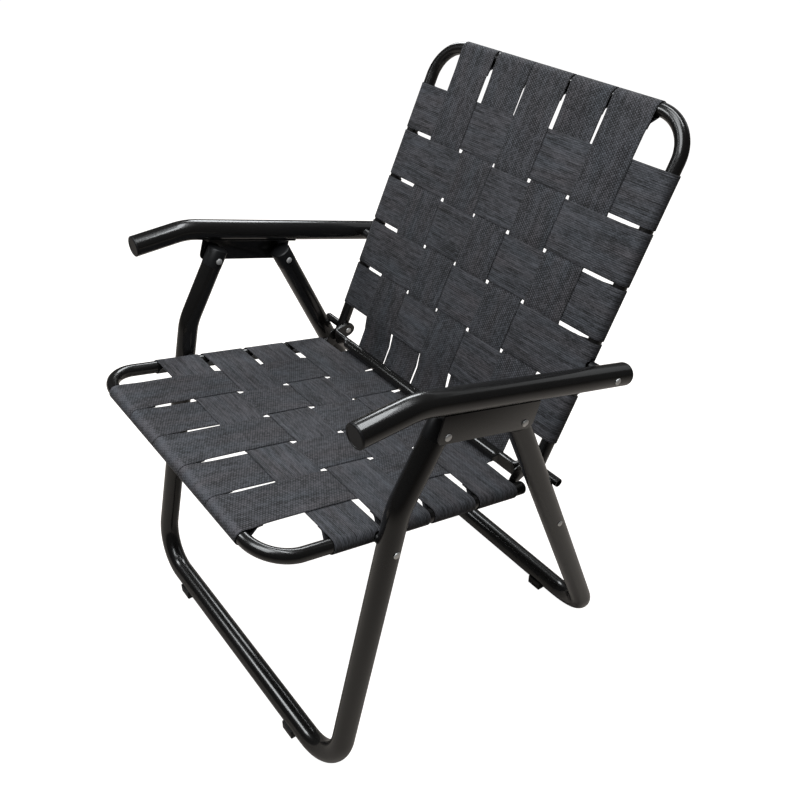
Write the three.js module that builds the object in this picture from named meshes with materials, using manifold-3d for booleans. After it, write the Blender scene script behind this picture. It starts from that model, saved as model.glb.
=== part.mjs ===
// Folding webbed lawn chair: four tube frames on rivet pivots, woven straps on the seat and the back.
// Millimetres, +Z up, the sitter faces -Y and the sitter's left is +X.
import * as THREE from 'three';
import { mergeVertices } from 'three/addons/utils/BufferGeometryUtils.js';
import Module from 'manifold-3d';

const wasm = await Module();
wasm.setup();

// Driving dimensions: tubes
const LEG_TUBE_D = 32;
const ARM_TUBE_D = 32;
const FRAME_TUBE_D = 19;
const LEG_SIDES = 20;
const FRAME_SIDES = 16;

// Driving dimensions: width of the frames, from the middle plane to the tube axes
const RAIL_HALF = 233;
const LEG_GAP = 5.5;
const ARM_OFFSET = 8.6;

// Driving dimensions: side view of the linkage
const SEAT_PIVOT_HEIGHT = 423.5;
const LINK_LENGTH = 167;
const RECLINE_DEG = 21.8;
const SEAT_SLOPE_DEG = 12.1;
const ARM_SLOPE_DEG = 14.75;
const HINGE_RUN = 295;
const HINGE_RISE = 30.5;
const LEG_PIVOT_SPACING = 135;
const FOLD_DEG = 80;

// Driving dimensions: legs
const FRONT_FOOT_REACH = 68.5;
const KINK_ABOVE_PIVOT = 57.5;
const LEG_CORNER_R = 68;
const KINK_R = 90;
const LEG_TOP_EXTRA = 14;
const FOOT_LIFT = 5.5;
const FOOT_LENGTH = 26;
const FOOT_INSET = 101;
const FOOT_WALL = 2.6;
const FOOT_SOLE_HALF = 12.5;
const FOOT_HUG_DEG = 72;
const LEG_CAP_H = 5;

// Driving dimensions: seat and back frames
const SEAT_FRONT_RUN = 160;
const RAIL_END_SHORT = 22;
const RAIL_CAP_H = 4;
const SEAT_CORNER_R = 52;
const BACK_RISE = 504;
const BACK_TAIL = 13;
const BACK_CORNER_R = 54;

// Driving dimensions: arms
const ARM_REAR_RUN = 31;
const ARM_BEND_RUN = 349;
const ARM_NOSE_LENGTH = 85;
const ARM_BEND_DEG = 18;
const ARM_BEND_R = 110;
const ARM_FRONT_CAP_H = 3;
const ARM_PLUG_H = 7.5;

// Driving dimensions: brackets, plates and fasteners
const PLATE_T = 2;
const HINGE_PLATE_T = 2.4;
const BRACKET_MARGIN = 16;
const BRACKET_DEPTH_BELOW = 9;
const BRACKET_LOBE = 11;
const SADDLE_DEG = 36;
const HINGE_BOSS_R = 11.5;
const BAR_BOSS_R = 10.5;
const PLATE_FOOT_R = 7.5;
const PLATE_FOOT_SETBACK = 10;
const BAR_FLAT_HALF_T = 2.2;
const BAR_FLAT_HALF_W = 13;
const BAR_FLARE = 15;
const SHANK_R = 3.1;
const HEAD_R = 5;
const HEAD_H = 2;
const SPACER_R = 7;
const STOP_R = 6.35;
const STOP_LENGTH = 32;
const STOP_WALL = 1.4;
const STOP_MOUTH = 14;

// Driving dimensions: webbing
const LONG_W = 68.5;
const CROSS_W = 74;
const WEB_T = 1.2;
const WEAVE = 0.9;
const LONG_PITCH = 72.2;
const LONG_COUNT = 5;
const SEAT_CROSS_FIRST = 128.7;
const SEAT_CROSS_REAR = 53.5;
const SEAT_CROSS_COUNT = 4;
const BACK_CROSS_FIRST = 81.7;
const BACK_CROSS_TOP = 105.5;
const BACK_CROSS_COUNT = 5;
const LOOP_TAIL = 21;
const CROOK_LAP = 15.5;
const CROOK_RISE_DEG = 10;
const CROOK_BLEND = 19;

// Clearances
const SEATED = 0.06;
const RUNNING = 0.3;
const WRAP_GAP = 0.35;
const PIVOT_ROOM = 1;
const OVERCUT = 2;

// Derived sizes
const legR = LEG_TUBE_D / 2;
const armR = ARM_TUBE_D / 2;
const tubeR = FRAME_TUBE_D / 2;
const railOuter = RAIL_HALF + tubeR;
const railInner = RAIL_HALF - tubeR;
const legX = railOuter + LEG_GAP + legR;
const armX = legX + ARM_OFFSET;
const plateX = legX + legR + RUNNING;
const wrapR = tubeR + WRAP_GAP + WEB_T / 2;
const holeR = SHANK_R + RUNNING;
const floorAxis = legR + FOOT_LIFT;
const footX = legX - FOOT_INSET;
const rad = THREE.MathUtils.degToRad;

// Side view points and directions, as pairs of y and z
const pair = (y, z) => new THREE.Vector2(y, z);
const along = (point, direction, distance) => point.clone().addScaledVector(direction, distance);
const backUp = pair(Math.sin(rad(RECLINE_DEG)), Math.cos(rad(RECLINE_DEG)));
const backFront = pair(-backUp.y, backUp.x);
const seatRear = pair(Math.cos(rad(SEAT_SLOPE_DEG)), -Math.sin(rad(SEAT_SLOPE_DEG)));
const seatUp = pair(-seatRear.y, seatRear.x);
const armRear = pair(Math.cos(rad(ARM_SLOPE_DEG)), -Math.sin(rad(ARM_SLOPE_DEG)));
const armUp = pair(-armRear.y, armRear.x);

// Pivots of the parallelogram: seat pivot, arm front, hinge and arm rear, then the rear leg pivot
const seatPivot = pair(0, SEAT_PIVOT_HEIGHT);
const armFront = along(seatPivot, backUp, LINK_LENGTH);
const hinge = along(along(seatPivot, seatRear, HINGE_RUN), seatUp, HINGE_RISE);
const armBack = along(hinge, backUp, LINK_LENGTH);
const rearPivot = along(armFront, armRear, LEG_PIVOT_SPACING);
const pivotDepth = armBack.clone().sub(armFront).dot(armUp);

// Front leg: through the seat pivot, then bent rearward to the arm
const frontFoot = pair(-FRONT_FOOT_REACH, floorAxis);
const shin = seatPivot.clone().sub(frontFoot).normalize();
const kink = along(seatPivot, shin, KINK_ABOVE_PIVOT);
const thigh = armFront.clone().sub(kink).normalize();
const frontTop = along(armFront, thigh, LEG_TOP_EXTRA);

// Rear leg: leans on the stop at the hinge, with a running gap
const toStop = hinge.clone().sub(rearPivot);
const leanOnStop = Math.asin((legR + STOP_R + RUNNING) / toStop.length());
const rearLegDown = toStop.clone().normalize().rotateAround(pair(0, 0), -leanOnStop);
const rearRun = (rearPivot.y - floorAxis) / -rearLegDown.y;
const rearFoot = along(rearPivot, rearLegDown, rearRun);
const rearLegUp = rearLegDown.clone().negate();
const rearTop = along(rearPivot, rearLegUp, LEG_TOP_EXTRA);

// Seat and back references
const seatFront = along(seatPivot, seatRear, -SEAT_FRONT_RUN);
const seatEnd = along(seatPivot, seatRear, HINGE_RUN - RAIL_END_SHORT);
const backTop = along(hinge, backUp, BACK_RISE);
const backEnd = along(hinge, backUp, -BACK_TAIL);

// Cross bar in the crook: it rests above the seat straps and in front of the back straps
const strapReach = wrapR + WEB_T / 2 + WEAVE + RUNNING + tubeR;
const barRise = strapReach - HINGE_RISE;
const barRun = (strapReach - barRise * seatUp.dot(backFront)) / seatRear.dot(backFront);
const bar = along(along(hinge, seatRear, barRun), seatUp, barRise);
const barFromHinge = bar.clone().sub(hinge);
const barDrop = Math.atan2(-barFromHinge.dot(backUp), barFromHinge.dot(backFront));
const barAtFold = barFromHinge.length() * Math.cos(rad(FOLD_DEG) - barDrop);
const crookSetback = barAtFold - wrapR - WEB_T - RUNNING;

// Materials
function material(name, colour, roughness, metalness) {
  const made = new THREE.MeshStandardMaterial({ color: colour, roughness, metalness });
  made.name = name;
  return made;
}

const finish = {
  frame: () => material('black_frame', 0x17181a, 0.34, 0.25),
  cap: () => material('black_plastic', 0x101011, 0.55, 0),
  rivet: () => material('rivet_metal', 0xb4b7ba, 0.35, 0.9),
  web: () => material('charcoal_webbing', 0x4b4e53, 0.9, 0),
};

const chair = new THREE.Group();
chair.name = 'folding_webbed_lawn_chair';

function place(name, geometry, kind) {
  const clean = tidy(geometry);
  clean.computeVertexNormals();
  const mesh = new THREE.Mesh(clean, finish[kind]());
  mesh.name = name;
  chair.add(mesh);
  return mesh;
}

// Mesh helpers: merged vertices, outward faces and the boolean kernel
function tidy(geometry) {
  const copy = geometry.clone();
  copy.deleteAttribute('normal');
  copy.deleteAttribute('uv');
  const merged = mergeVertices(copy, 1e-4);
  if (signedVolume(merged) < 0) {
    const index = merged.index.array;
    for (let i = 0; i < index.length; i += 3) {
      const swap = index[i];
      index[i] = index[i + 1];
      index[i + 1] = swap;
    }
  }
  return merged;
}

function signedVolume(geometry) {
  const p = geometry.attributes.position;
  const index = geometry.index.array;
  const a = new THREE.Vector3();
  const b = new THREE.Vector3();
  const c = new THREE.Vector3();
  let volume = 0;
  for (let i = 0; i < index.length; i += 3) {
    a.fromBufferAttribute(p, index[i]);
    b.fromBufferAttribute(p, index[i + 1]);
    c.fromBufferAttribute(p, index[i + 2]);
    volume += a.dot(b.cross(c)) / 6;
  }
  return volume;
}

function solid(geometry) {
  const clean = tidy(geometry);
  return new wasm.Manifold(new wasm.Mesh({
    numProp: 3,
    vertProperties: new Float32Array(clean.attributes.position.array),
    triVerts: new Uint32Array(clean.index.array),
  }));
}

function geometryOf(body) {
  const mesh = body.getMesh();
  const geometry = new THREE.BufferGeometry();
  geometry.setAttribute('position', new THREE.BufferAttribute(new Float32Array(mesh.vertProperties), 3));
  geometry.setIndex(new THREE.BufferAttribute(new Uint32Array(mesh.triVerts), 1));
  return geometry;
}

function cut(geometry, tools) {
  return geometryOf(tools.reduce((body, tool) => body.subtract(solid(tool)), solid(geometry)));
}

function join(first, ...others) {
  return geometryOf(others.reduce((body, other) => body.add(solid(other)), solid(first)));
}

// A bent path: straight runs with true arcs at the corners, one ring where the tube bends
class BentPath extends THREE.Curve {
  constructor(stations) {
    super();
    this.stations = stations;
  }

  station(t) {
    return this.stations[Math.round(t * (this.stations.length - 1))];
  }

  getPoint(t, target = new THREE.Vector3()) {
    return target.copy(this.station(t).point);
  }

  getPointAt(t, target) {
    return this.getPoint(t, target);
  }

  getTangent(t, target = new THREE.Vector3()) {
    return target.copy(this.station(t).tangent);
  }

  getTangentAt(t, target) {
    return this.getTangent(t, target);
  }
}

// A path in one upright plane: what is swept along it keeps its width along X
class FlatPath extends BentPath {
  computeFrenetFrames() {
    const tangents = this.stations.map(({ tangent }) => tangent);
    const normals = tangents.map(() => new THREE.Vector3(1, 0, 0));
    const binormals = tangents.map((tangent, i) => tangent.clone().cross(normals[i]));
    return { tangents, normals, binormals };
  }
}

function bentStations(corners) {
  const stations = [];
  const last = corners.length - 1;
  const direction = (i) => corners[i + 1].at.clone().sub(corners[i].at).normalize();
  stations.push({ point: corners[0].at, tangent: direction(0) });
  for (let i = 1; i < last; i += 1) {
    const before = direction(i - 1);
    const after = direction(i);
    const turn = before.angleTo(after);
    const axis = before.clone().cross(after).normalize();
    const start = corners[i].at.clone().addScaledVector(before, -corners[i].radius * Math.tan(turn / 2));
    const inward = axis.clone().cross(before);
    const centre = start.clone().addScaledVector(inward, corners[i].radius);
    const steps = Math.max(2, Math.round(turn / rad(15)));
    for (let k = 0; k <= steps; k += 1) {
      const angle = (turn * k) / steps;
      const arm = inward.clone().multiplyScalar(-corners[i].radius).applyAxisAngle(axis, angle);
      const tangent = before.clone().applyAxisAngle(axis, angle);
      stations.push({ point: centre.clone().add(arm), tangent });
    }
  }
  stations.push({ point: corners[last].at, tangent: direction(last - 1) });
  return stations;
}

function circleShape(radius, sides) {
  const points = [];
  for (let i = 0; i < sides; i += 1) {
    const angle = (i / sides) * Math.PI * 2;
    points.push(new THREE.Vector2(radius * Math.cos(angle), radius * Math.sin(angle)));
  }
  return new THREE.Shape(points);
}

function tube(corners, radius, sides) {
  const path = new BentPath(bentStations(corners));
  const steps = path.stations.length - 1;
  return new THREE.ExtrudeGeometry(circleShape(radius, sides), { steps, extrudePath: path });
}

const spot = (x, point) => new THREE.Vector3(x, point.x, point.y);
const corner = (x, point, radius = 0) => ({ at: spot(x, point), radius });

// Turned pieces on a pivot line along X
function turned(profile, sides, x, point) {
  const geometry = new THREE.LatheGeometry(profile.map(([r, at]) => new THREE.Vector2(r, at)), sides);
  geometry.rotateZ(-Math.PI / 2);
  geometry.translate(x, point.x, point.y);
  return geometry;
}

function bore(radius, from, to, point, sides = 16) {
  const geometry = new THREE.CylinderGeometry(radius, radius, to - from, sides);
  geometry.rotateZ(-Math.PI / 2);
  geometry.translate((from + to) / 2, point.x, point.y);
  return geometry;
}

function domeProfile(radius, height, base, way) {
  return [
    [0, base + way * height],
    [radius * 0.55, base + way * height * 0.82],
    [radius * 0.9, base + way * height * 0.35],
    [radius, base],
  ];
}

function rivet(from, to, point) {
  const head = domeProfile(HEAD_R, HEAD_H, from, -1);
  const tail = domeProfile(HEAD_R, HEAD_H, to, 1).reverse();
  return turned([...head, [SHANK_R, from], [SHANK_R, to], ...tail], 12, 0, point);
}

// A dome that closes a tube end, seated on it and facing away along the tube
function endCap(radius, height, x, point, direction, sides) {
  const profile = [
    [0, SEATED],
    [radius, SEATED],
    [radius, height * 0.35],
    [radius * 0.88, height * 0.75],
    [radius * 0.55, height * 0.96],
    [0, height],
  ];
  const geometry = new THREE.LatheGeometry(profile.map(([r, at]) => new THREE.Vector2(r, at)), sides);
  const way = new THREE.Vector3(0, direction.x, direction.y);
  geometry.applyQuaternion(new THREE.Quaternion().setFromUnitVectors(new THREE.Vector3(0, 1, 0), way));
  geometry.translate(x, point.x, point.y);
  return geometry;
}

const SIDES = [['left', 1], ['right', -1]];

// On one side of the chair, a stretch along X between two distances from the middle plane
function span(side, near, far) {
  return side > 0 ? [near, far] : [-far, -near];
}

function sideBore(side, radius, near, far, point) {
  const [from, to] = span(side, near, far);
  return bore(radius, from, to, point);
}

// Leg frames: one tube each, up one side, across the floor and up the other side
function legFrame(sidePoints, pivots) {
  const rightHalf = sidePoints.map(({ at, radius }) => corner(-legX, at, radius));
  const leftHalf = sidePoints.map(({ at, radius }) => corner(legX, at, radius)).reverse();
  const body = tube([...rightHalf, ...leftHalf], legR, LEG_SIDES);
  const reach = legR + OVERCUT;
  const holes = SIDES.flatMap(([, side]) => pivots.map((point) => (
    sideBore(side, holeR, legX - reach, legX + reach, point)
  )));
  return cut(body, holes);
}

place('front_leg_frame', legFrame([
  { at: frontTop, radius: 0 },
  { at: kink, radius: KINK_R },
  { at: frontFoot, radius: LEG_CORNER_R },
], [seatPivot, armFront]), 'frame');

place('rear_leg_frame', legFrame([
  { at: rearTop, radius: 0 },
  { at: rearFoot, radius: LEG_CORNER_R },
], [rearPivot]), 'frame');

// Caps on the leg tops
for (const [word, side] of SIDES) {
  place(`front_leg_cap_${word}`, endCap(legR, LEG_CAP_H, side * legX, frontTop, thigh, 16), 'cap');
  place(`rear_leg_cap_${word}`, endCap(legR, LEG_CAP_H, side * legX, rearTop, rearLegUp, 16), 'cap');
}

// Feet: saddles that hug the floor bars from below and end in a flat sole
function foot(floorPoint, x) {
  const inner = legR + SEATED * 2;
  const outer = inner + FOOT_WALL;
  const half = rad(FOOT_HUG_DEG);
  const steps = 10;
  const points = [];
  for (let i = 0; i <= steps; i += 1) {
    const angle = -Math.PI / 2 - half + (2 * half * i) / steps;
    points.push(new THREE.Vector2(inner * Math.cos(angle), inner * Math.sin(angle)));
  }
  points.push(new THREE.Vector2(outer * Math.sin(half), -outer * Math.cos(half)));
  points.push(new THREE.Vector2(FOOT_SOLE_HALF, -floorAxis));
  points.push(new THREE.Vector2(-FOOT_SOLE_HALF, -floorAxis));
  points.push(new THREE.Vector2(-outer * Math.sin(half), -outer * Math.cos(half)));
  const outline = new THREE.Shape(points);
  const geometry = new THREE.ExtrudeGeometry(outline, { depth: FOOT_LENGTH, bevelEnabled: false });
  geometry.translate(0, 0, -FOOT_LENGTH / 2);
  geometry.applyMatrix4(new THREE.Matrix4().makeBasis(
    new THREE.Vector3(0, 1, 0),
    new THREE.Vector3(0, 0, 1),
    new THREE.Vector3(1, 0, 0),
  ));
  geometry.translate(x, floorPoint.x, floorPoint.y);
  return geometry;
}

for (const [word, side] of SIDES) {
  place(`front_foot_${word}`, foot(frontFoot, side * footX), 'cap');
  place(`rear_foot_${word}`, foot(rearFoot, side * footX), 'cap');
}

// Seat frame: a U open at the rear
const seatTube = tube([
  corner(-RAIL_HALF, seatEnd),
  corner(-RAIL_HALF, seatFront, SEAT_CORNER_R),
  corner(RAIL_HALF, seatFront, SEAT_CORNER_R),
  corner(RAIL_HALF, seatEnd),
], tubeR, FRAME_SIDES);
const railReach = tubeR + OVERCUT;
place('seat_frame', cut(seatTube, SIDES.map(([, side]) => (
  sideBore(side, holeR, RAIL_HALF - railReach, RAIL_HALF + railReach, seatPivot)
))), 'frame');

for (const [word, side] of SIDES) {
  place(`seat_rail_cap_${word}`, endCap(tubeR, RAIL_CAP_H, side * RAIL_HALF, seatEnd, seatRear, 16), 'cap');
}

// Back frame: an upside-down U that turns on the hinge rivets and on the arm rivets
const backTube = tube([
  corner(-RAIL_HALF, backEnd),
  corner(-RAIL_HALF, backTop, BACK_CORNER_R),
  corner(RAIL_HALF, backTop, BACK_CORNER_R),
  corner(RAIL_HALF, backEnd),
], tubeR, FRAME_SIDES);
place('back_frame', cut(backTube, SIDES.flatMap(([, side]) => [hinge, armBack].map((point) => (
  sideBore(side, holeR, RAIL_HALF - railReach, RAIL_HALF + railReach, point)
)))), 'frame');

// Arms: straight tubes with a nose bent down at the front
const armBendPoint = along(armBack, armRear, -ARM_BEND_RUN);
const noseAngle = rad(180 - ARM_SLOPE_DEG + ARM_BEND_DEG);
const noseWay = pair(Math.cos(noseAngle), Math.sin(noseAngle));
const armNose = along(armBendPoint, noseWay, ARM_NOSE_LENGTH);
const armEnd = along(armBack, armRear, ARM_REAR_RUN);

for (const [word, side] of SIDES) {
  const body = tube([
    corner(side * armX, armNose),
    corner(side * armX, armBendPoint, ARM_BEND_R),
    corner(side * armX, armEnd),
  ], armR, LEG_SIDES);
  const hole = sideBore(side, holeR, armX - armR - OVERCUT, armX + armR + OVERCUT, armBack);
  place(`arm_tube_${word}`, cut(body, [hole]), 'frame');
  place(`arm_front_cap_${word}`, endCap(armR, ARM_FRONT_CAP_H, side * armX, armNose, noseWay, 16), 'cap');
  place(`arm_rear_plug_${word}`, endCap(armR, ARM_PLUG_H, side * armX, armEnd, armRear, 16), 'cap');
}

// Arm brackets: a plate outside the leg tops with a saddle that follows the underside of the arm
function roundedOutline(points, radii) {
  const shape = new THREE.Shape();
  points.forEach((point, i) => {
    const before = points[(i + points.length - 1) % points.length];
    const after = points[(i + 1) % points.length];
    const to = along(point, before.clone().sub(point).normalize(), radii[i]);
    const from = along(point, after.clone().sub(point).normalize(), radii[i]);
    if (i === 0) {
      shape.moveTo(to.x, to.y);
    } else {
      shape.lineTo(to.x, to.y);
    }
    shape.quadraticCurveTo(point.x, point.y, from.x, from.y);
  });
  return shape;
}

function bracket(side) {
  const bottom = -pivotDepth - BRACKET_DEPTH_BELOW;
  const inward = armX - plateX;
  const saddleR = armR + SEATED * 2;
  const saddleT = PLATE_T;
  const rise = -Math.sqrt(saddleR * saddleR - inward * inward);
  const start = -BRACKET_MARGIN;
  const end = LEG_PIVOT_SPACING + BRACKET_MARGIN;
  const outline = roundedOutline([
    pair(start, rise - saddleT),
    pair(start, bottom),
    pair(end, bottom),
    pair(end, rise - saddleT),
  ], [0.01, BRACKET_LOBE, BRACKET_LOBE, 0.01]);
  const plate = new THREE.ExtrudeGeometry(outline, { depth: PLATE_T, bevelEnabled: false, curveSegments: 5 });
  plate.applyMatrix4(new THREE.Matrix4().makeBasis(
    new THREE.Vector3(0, armRear.x, armRear.y),
    new THREE.Vector3(0, armUp.x, armUp.y),
    new THREE.Vector3(1, 0, 0),
  ));
  const plateFrom = side > 0 ? plateX : -plateX - PLATE_T;
  const origin = along(armFront, armUp, pivotDepth);
  plate.translate(plateFrom, origin.x, origin.y);
  const outerAngle = Math.asin((plateX + PLATE_T - armX) / (saddleR + saddleT));
  const innerAngle = rad(-SADDLE_DEG);
  const arc = [];
  const steps = 8;
  for (let i = 0; i <= steps; i += 1) {
    const angle = innerAngle + ((outerAngle - innerAngle) * i) / steps;
    arc.push(new THREE.Vector2(side * saddleR * Math.sin(angle), -saddleR * Math.cos(angle)));
  }
  for (let i = steps; i >= 0; i -= 1) {
    const angle = innerAngle + ((outerAngle - innerAngle) * i) / steps;
    const far = saddleR + saddleT;
    arc.push(new THREE.Vector2(side * far * Math.sin(angle), -far * Math.cos(angle)));
  }
  const saddle = new THREE.ExtrudeGeometry(new THREE.Shape(arc), { depth: end - start, bevelEnabled: false });
  saddle.applyMatrix4(new THREE.Matrix4().makeBasis(
    new THREE.Vector3(1, 0, 0),
    new THREE.Vector3(0, armUp.x, armUp.y),
    new THREE.Vector3(0, -armRear.x, -armRear.y),
  ));
  const saddleAt = along(origin, armRear, end);
  saddle.translate(side * armX, saddleAt.x, saddleAt.y);
  const holes = [armFront, rearPivot].map((point) => (
    sideBore(side, holeR, plateX - OVERCUT, plateX + PLATE_T + OVERCUT, point)
  ));
  return cut(join(plate, saddle), holes);
}

for (const [word, side] of SIDES) {
  place(`arm_bracket_${word}`, bracket(side), 'frame');
}

// Rivets and spacers on the four pivot lines of each side
function spacer(side, near, far, radius, point) {
  const [from, to] = span(side, near, far);
  return turned([
    [holeR, from],
    [radius, from],
    [radius, to],
    [holeR, to],
    [holeR, from],
  ], 16, 0, point);
}

for (const [word, side] of SIDES) {
  const bracketStack = span(side, legX - legR - SEATED, plateX + PLATE_T + SEATED);
  place(`front_leg_rivet_${word}`, rivet(...bracketStack, armFront), 'rivet');
  place(`rear_leg_rivet_${word}`, rivet(...bracketStack, rearPivot), 'rivet');
  const seatStack = span(side, railInner - SEATED, legX + legR + SEATED);
  place(`seat_pivot_rivet_${word}`, rivet(...seatStack, seatPivot), 'rivet');
  const armStack = span(side, railInner - SEATED, armX + armR + SEATED);
  place(`arm_pivot_rivet_${word}`, rivet(...armStack, armBack), 'rivet');
  const seatGap = [railOuter + RUNNING, legX - legR - SEATED];
  place(`seat_pivot_spacer_${word}`, spacer(side, ...seatGap, SPACER_R, seatPivot), 'cap');
  const armGap = [railOuter + RUNNING, armX - armR - SEATED];
  place(`arm_pivot_spacer_${word}`, spacer(side, ...armGap, SPACER_R, armBack), 'cap');
}

// Hinge plates: inside the rails, from the rail end up to the hinge, with the cross bar between them
const plateOuter = railInner - SEATED;
const plateInner = plateOuter - HINGE_PLATE_T;

function hullOfCircles(circles) {
  const points = circles.flatMap(({ at, radius }) => Array.from({ length: 16 }, (_, i) => {
    const angle = (i / 16) * Math.PI * 2;
    return pair(at.x + radius * Math.cos(angle), at.y + radius * Math.sin(angle));
  }));
  points.sort((a, b) => a.x - b.x || a.y - b.y);
  const turn = (a, b, c) => (b.x - a.x) * (c.y - a.y) - (b.y - a.y) * (c.x - a.x);
  const half = (list) => list.reduce((chain, point) => {
    while (chain.length > 1 && turn(chain[chain.length - 2], chain[chain.length - 1], point) <= 1e-9) {
      chain.pop();
    }
    chain.push(point);
    return chain;
  }, []);
  const lower = half(points);
  const upper = half([...points].reverse());
  return new THREE.Shape([...lower.slice(0, -1), ...upper.slice(0, -1)]);
}

const plateFoot = along(seatEnd, seatRear, -PLATE_FOOT_SETBACK);
const hingeOutline = hullOfCircles([
  { at: hinge, radius: HINGE_BOSS_R },
  { at: bar, radius: BAR_BOSS_R },
  { at: plateFoot, radius: PLATE_FOOT_R },
]);

for (const [word, side] of SIDES) {
  const [from, to] = span(side, plateInner, plateOuter);
  const plate = new THREE.ExtrudeGeometry(hingeOutline, { depth: to - from, bevelEnabled: false });
  plate.applyMatrix4(new THREE.Matrix4().makeBasis(
    new THREE.Vector3(0, 1, 0),
    new THREE.Vector3(0, 0, 1),
    new THREE.Vector3(1, 0, 0),
  ));
  plate.translate(from, 0, 0);
  const hole = sideBore(side, holeR, plateInner - OVERCUT, plateOuter + OVERCUT, hinge);
  place(`hinge_plate_${word}`, cut(plate, [hole]), 'frame');
}

// Cross bar: round where the straps turn on it, pressed flat towards the hinge at its ends
const barEnd = plateInner - SEATED;
const barRound = (LONG_PITCH * (LONG_COUNT - 1) + LONG_W) / 2 + PIVOT_ROOM;

function flatEndedBar() {
  const toHinge = hinge.clone().sub(bar).normalize();
  const square = pair(-toHinge.y, toHinge.x);
  const rings = [
    [-barEnd, BAR_FLAT_HALF_W, BAR_FLAT_HALF_T],
    [-barRound - BAR_FLARE, BAR_FLAT_HALF_W, BAR_FLAT_HALF_T],
    [-barRound, tubeR, tubeR],
    [barRound, tubeR, tubeR],
    [barRound + BAR_FLARE, BAR_FLAT_HALF_W, BAR_FLAT_HALF_T],
    [barEnd, BAR_FLAT_HALF_W, BAR_FLAT_HALF_T],
  ];
  const positions = rings.flatMap(([x, wide, thick]) => Array.from({ length: FRAME_SIDES }, (_, i) => {
    const angle = (i / FRAME_SIDES) * Math.PI * 2;
    const point = along(along(bar, toHinge, wide * Math.cos(angle)), square, thick * Math.sin(angle));
    return [x, point.x, point.y];
  }).flat());
  const index = [];
  const last = (rings.length - 1) * FRAME_SIDES;
  for (let i = 0; i < FRAME_SIDES; i += 1) {
    const next = (i + 1) % FRAME_SIDES;
    for (let ring = 0; ring < last; ring += FRAME_SIDES) {
      const above = ring + FRAME_SIDES;
      index.push(ring + i, ring + next, above + next, ring + i, above + next, above + i);
    }
    if (i > 0 && i < FRAME_SIDES - 1) {
      index.push(0, next, i, last, last + i, last + next);
    }
  }
  const geometry = new THREE.BufferGeometry();
  geometry.setAttribute('position', new THREE.Float32BufferAttribute(positions, 3));
  geometry.setIndex(index);
  return geometry;
}

place('cross_bar', flatEndedBar(), 'frame');

// Stops: open-ended sleeves on the hinge rivets, which the rear legs lean on
const stopFrom = railOuter + RUNNING;

for (const [word, side] of SIDES) {
  const far = stopFrom + STOP_LENGTH;
  const mouthR = STOP_R - STOP_WALL;
  const profile = [
    [holeR, stopFrom],
    [STOP_R, stopFrom],
    [STOP_R, far],
    [mouthR, far],
    [mouthR, far - STOP_MOUTH],
    [holeR, far - STOP_MOUTH],
    [holeR, stopFrom],
  ].map(([r, at]) => [r, side * at]);
  place(`stop_sleeve_${word}`, turned(profile, 20, 0, hinge), 'frame');
  const tip = far - STOP_MOUTH - PIVOT_ROOM;
  const pin = [
    ...domeProfile(HEAD_R, HEAD_H, plateInner - SEATED, -1),
    [SHANK_R, plateInner - SEATED],
    [SHANK_R, tip],
    [0, tip],
  ].map(([r, at]) => [r, side * at]);
  place(`hinge_rivet_${word}`, turned(pin, 12, 0, hinge), 'rivet');
}

// Webbing: a flat section swept along its side view, one ring at each point of the path
function ribbon(path, width, xAxis, yAxis, origin) {
  const last = path.length - 1;
  const step = (i) => path[i + 1].clone().sub(path[i]).normalize();
  const stations = path.map((point, i) => {
    const way = step(Math.max(i - 1, 0)).add(step(Math.min(i, last - 1))).normalize();
    return { point: spot(0, point), tangent: spot(0, way) };
  });
  const section = new THREE.Shape([
    pair(-width / 2, -WEB_T / 2),
    pair(width / 2, -WEB_T / 2),
    pair(width / 2, WEB_T / 2),
    pair(-width / 2, WEB_T / 2),
  ]);
  const sweep = { steps: last, extrudePath: new FlatPath(stations) };
  const geometry = new THREE.ExtrudeGeometry(section, sweep);
  const zAxis = xAxis.clone().cross(yAxis);
  geometry.applyMatrix4(new THREE.Matrix4().makeBasis(zAxis, xAxis, yAxis));
  geometry.translate(origin.x, origin.y, origin.z);
  return geometry;
}

// A sewn loop round a tube at the origin: tail under the run, round the far side, up to the run
function loopPath(way) {
  const lower = wrapR - WEB_T - WRAP_GAP;
  const turnIn = 2.5 * wrapR;
  const points = [pair(turnIn + LOOP_TAIL, lower), pair(turnIn, lower)];
  const steps = 8;
  for (let i = 0; i <= steps; i += 1) {
    const angle = rad(310 - (220 * i) / steps);
    points.push(pair(wrapR * Math.cos(angle), wrapR * Math.sin(angle)));
  }
  return points.map((point) => pair(-way * point.x, point.y));
}

// Over and under the straps it crosses, at the weave height on each side of the tube's top line
function wovenRun(crossings, width) {
  const margin = 0.6;
  return crossings.flatMap(({ at, over }) => {
    const height = wrapR + (over ? WEAVE : -WEAVE);
    const half = width / 2 + margin;
    return [pair(at - half, height), pair(at + half, height)];
  });
}

const spread = (count, first, last) => Array.from({ length: count }, (_, i) => (
  first + ((last - first) * i) / (count - 1)
));
const longReach = (LONG_PITCH * (LONG_COUNT - 1)) / 2;
const barAlong = bar.clone().sub(seatFront).dot(seatRear);
const barAbove = bar.clone().sub(seatFront).dot(seatUp);
const longAt = spread(LONG_COUNT, longReach, -longReach);
const seatCrossAt = spread(SEAT_CROSS_COUNT, SEAT_CROSS_FIRST, barAlong - SEAT_CROSS_REAR);
const backCrossAt = spread(BACK_CROSS_COUNT, BACK_CROSS_FIRST, BACK_RISE - BACK_CROSS_TOP);
const xWay = new THREE.Vector3(1, 0, 0);
const seatRear3 = new THREE.Vector3(0, seatRear.x, seatRear.y);
const seatUp3 = new THREE.Vector3(0, seatUp.x, seatUp.y);
const backUp3 = new THREE.Vector3(0, backUp.x, backUp.y);
const backFront3 = new THREE.Vector3(0, backFront.x, backFront.y);
const isOver = (i, j) => (i + j) % 2 === 0;

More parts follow.
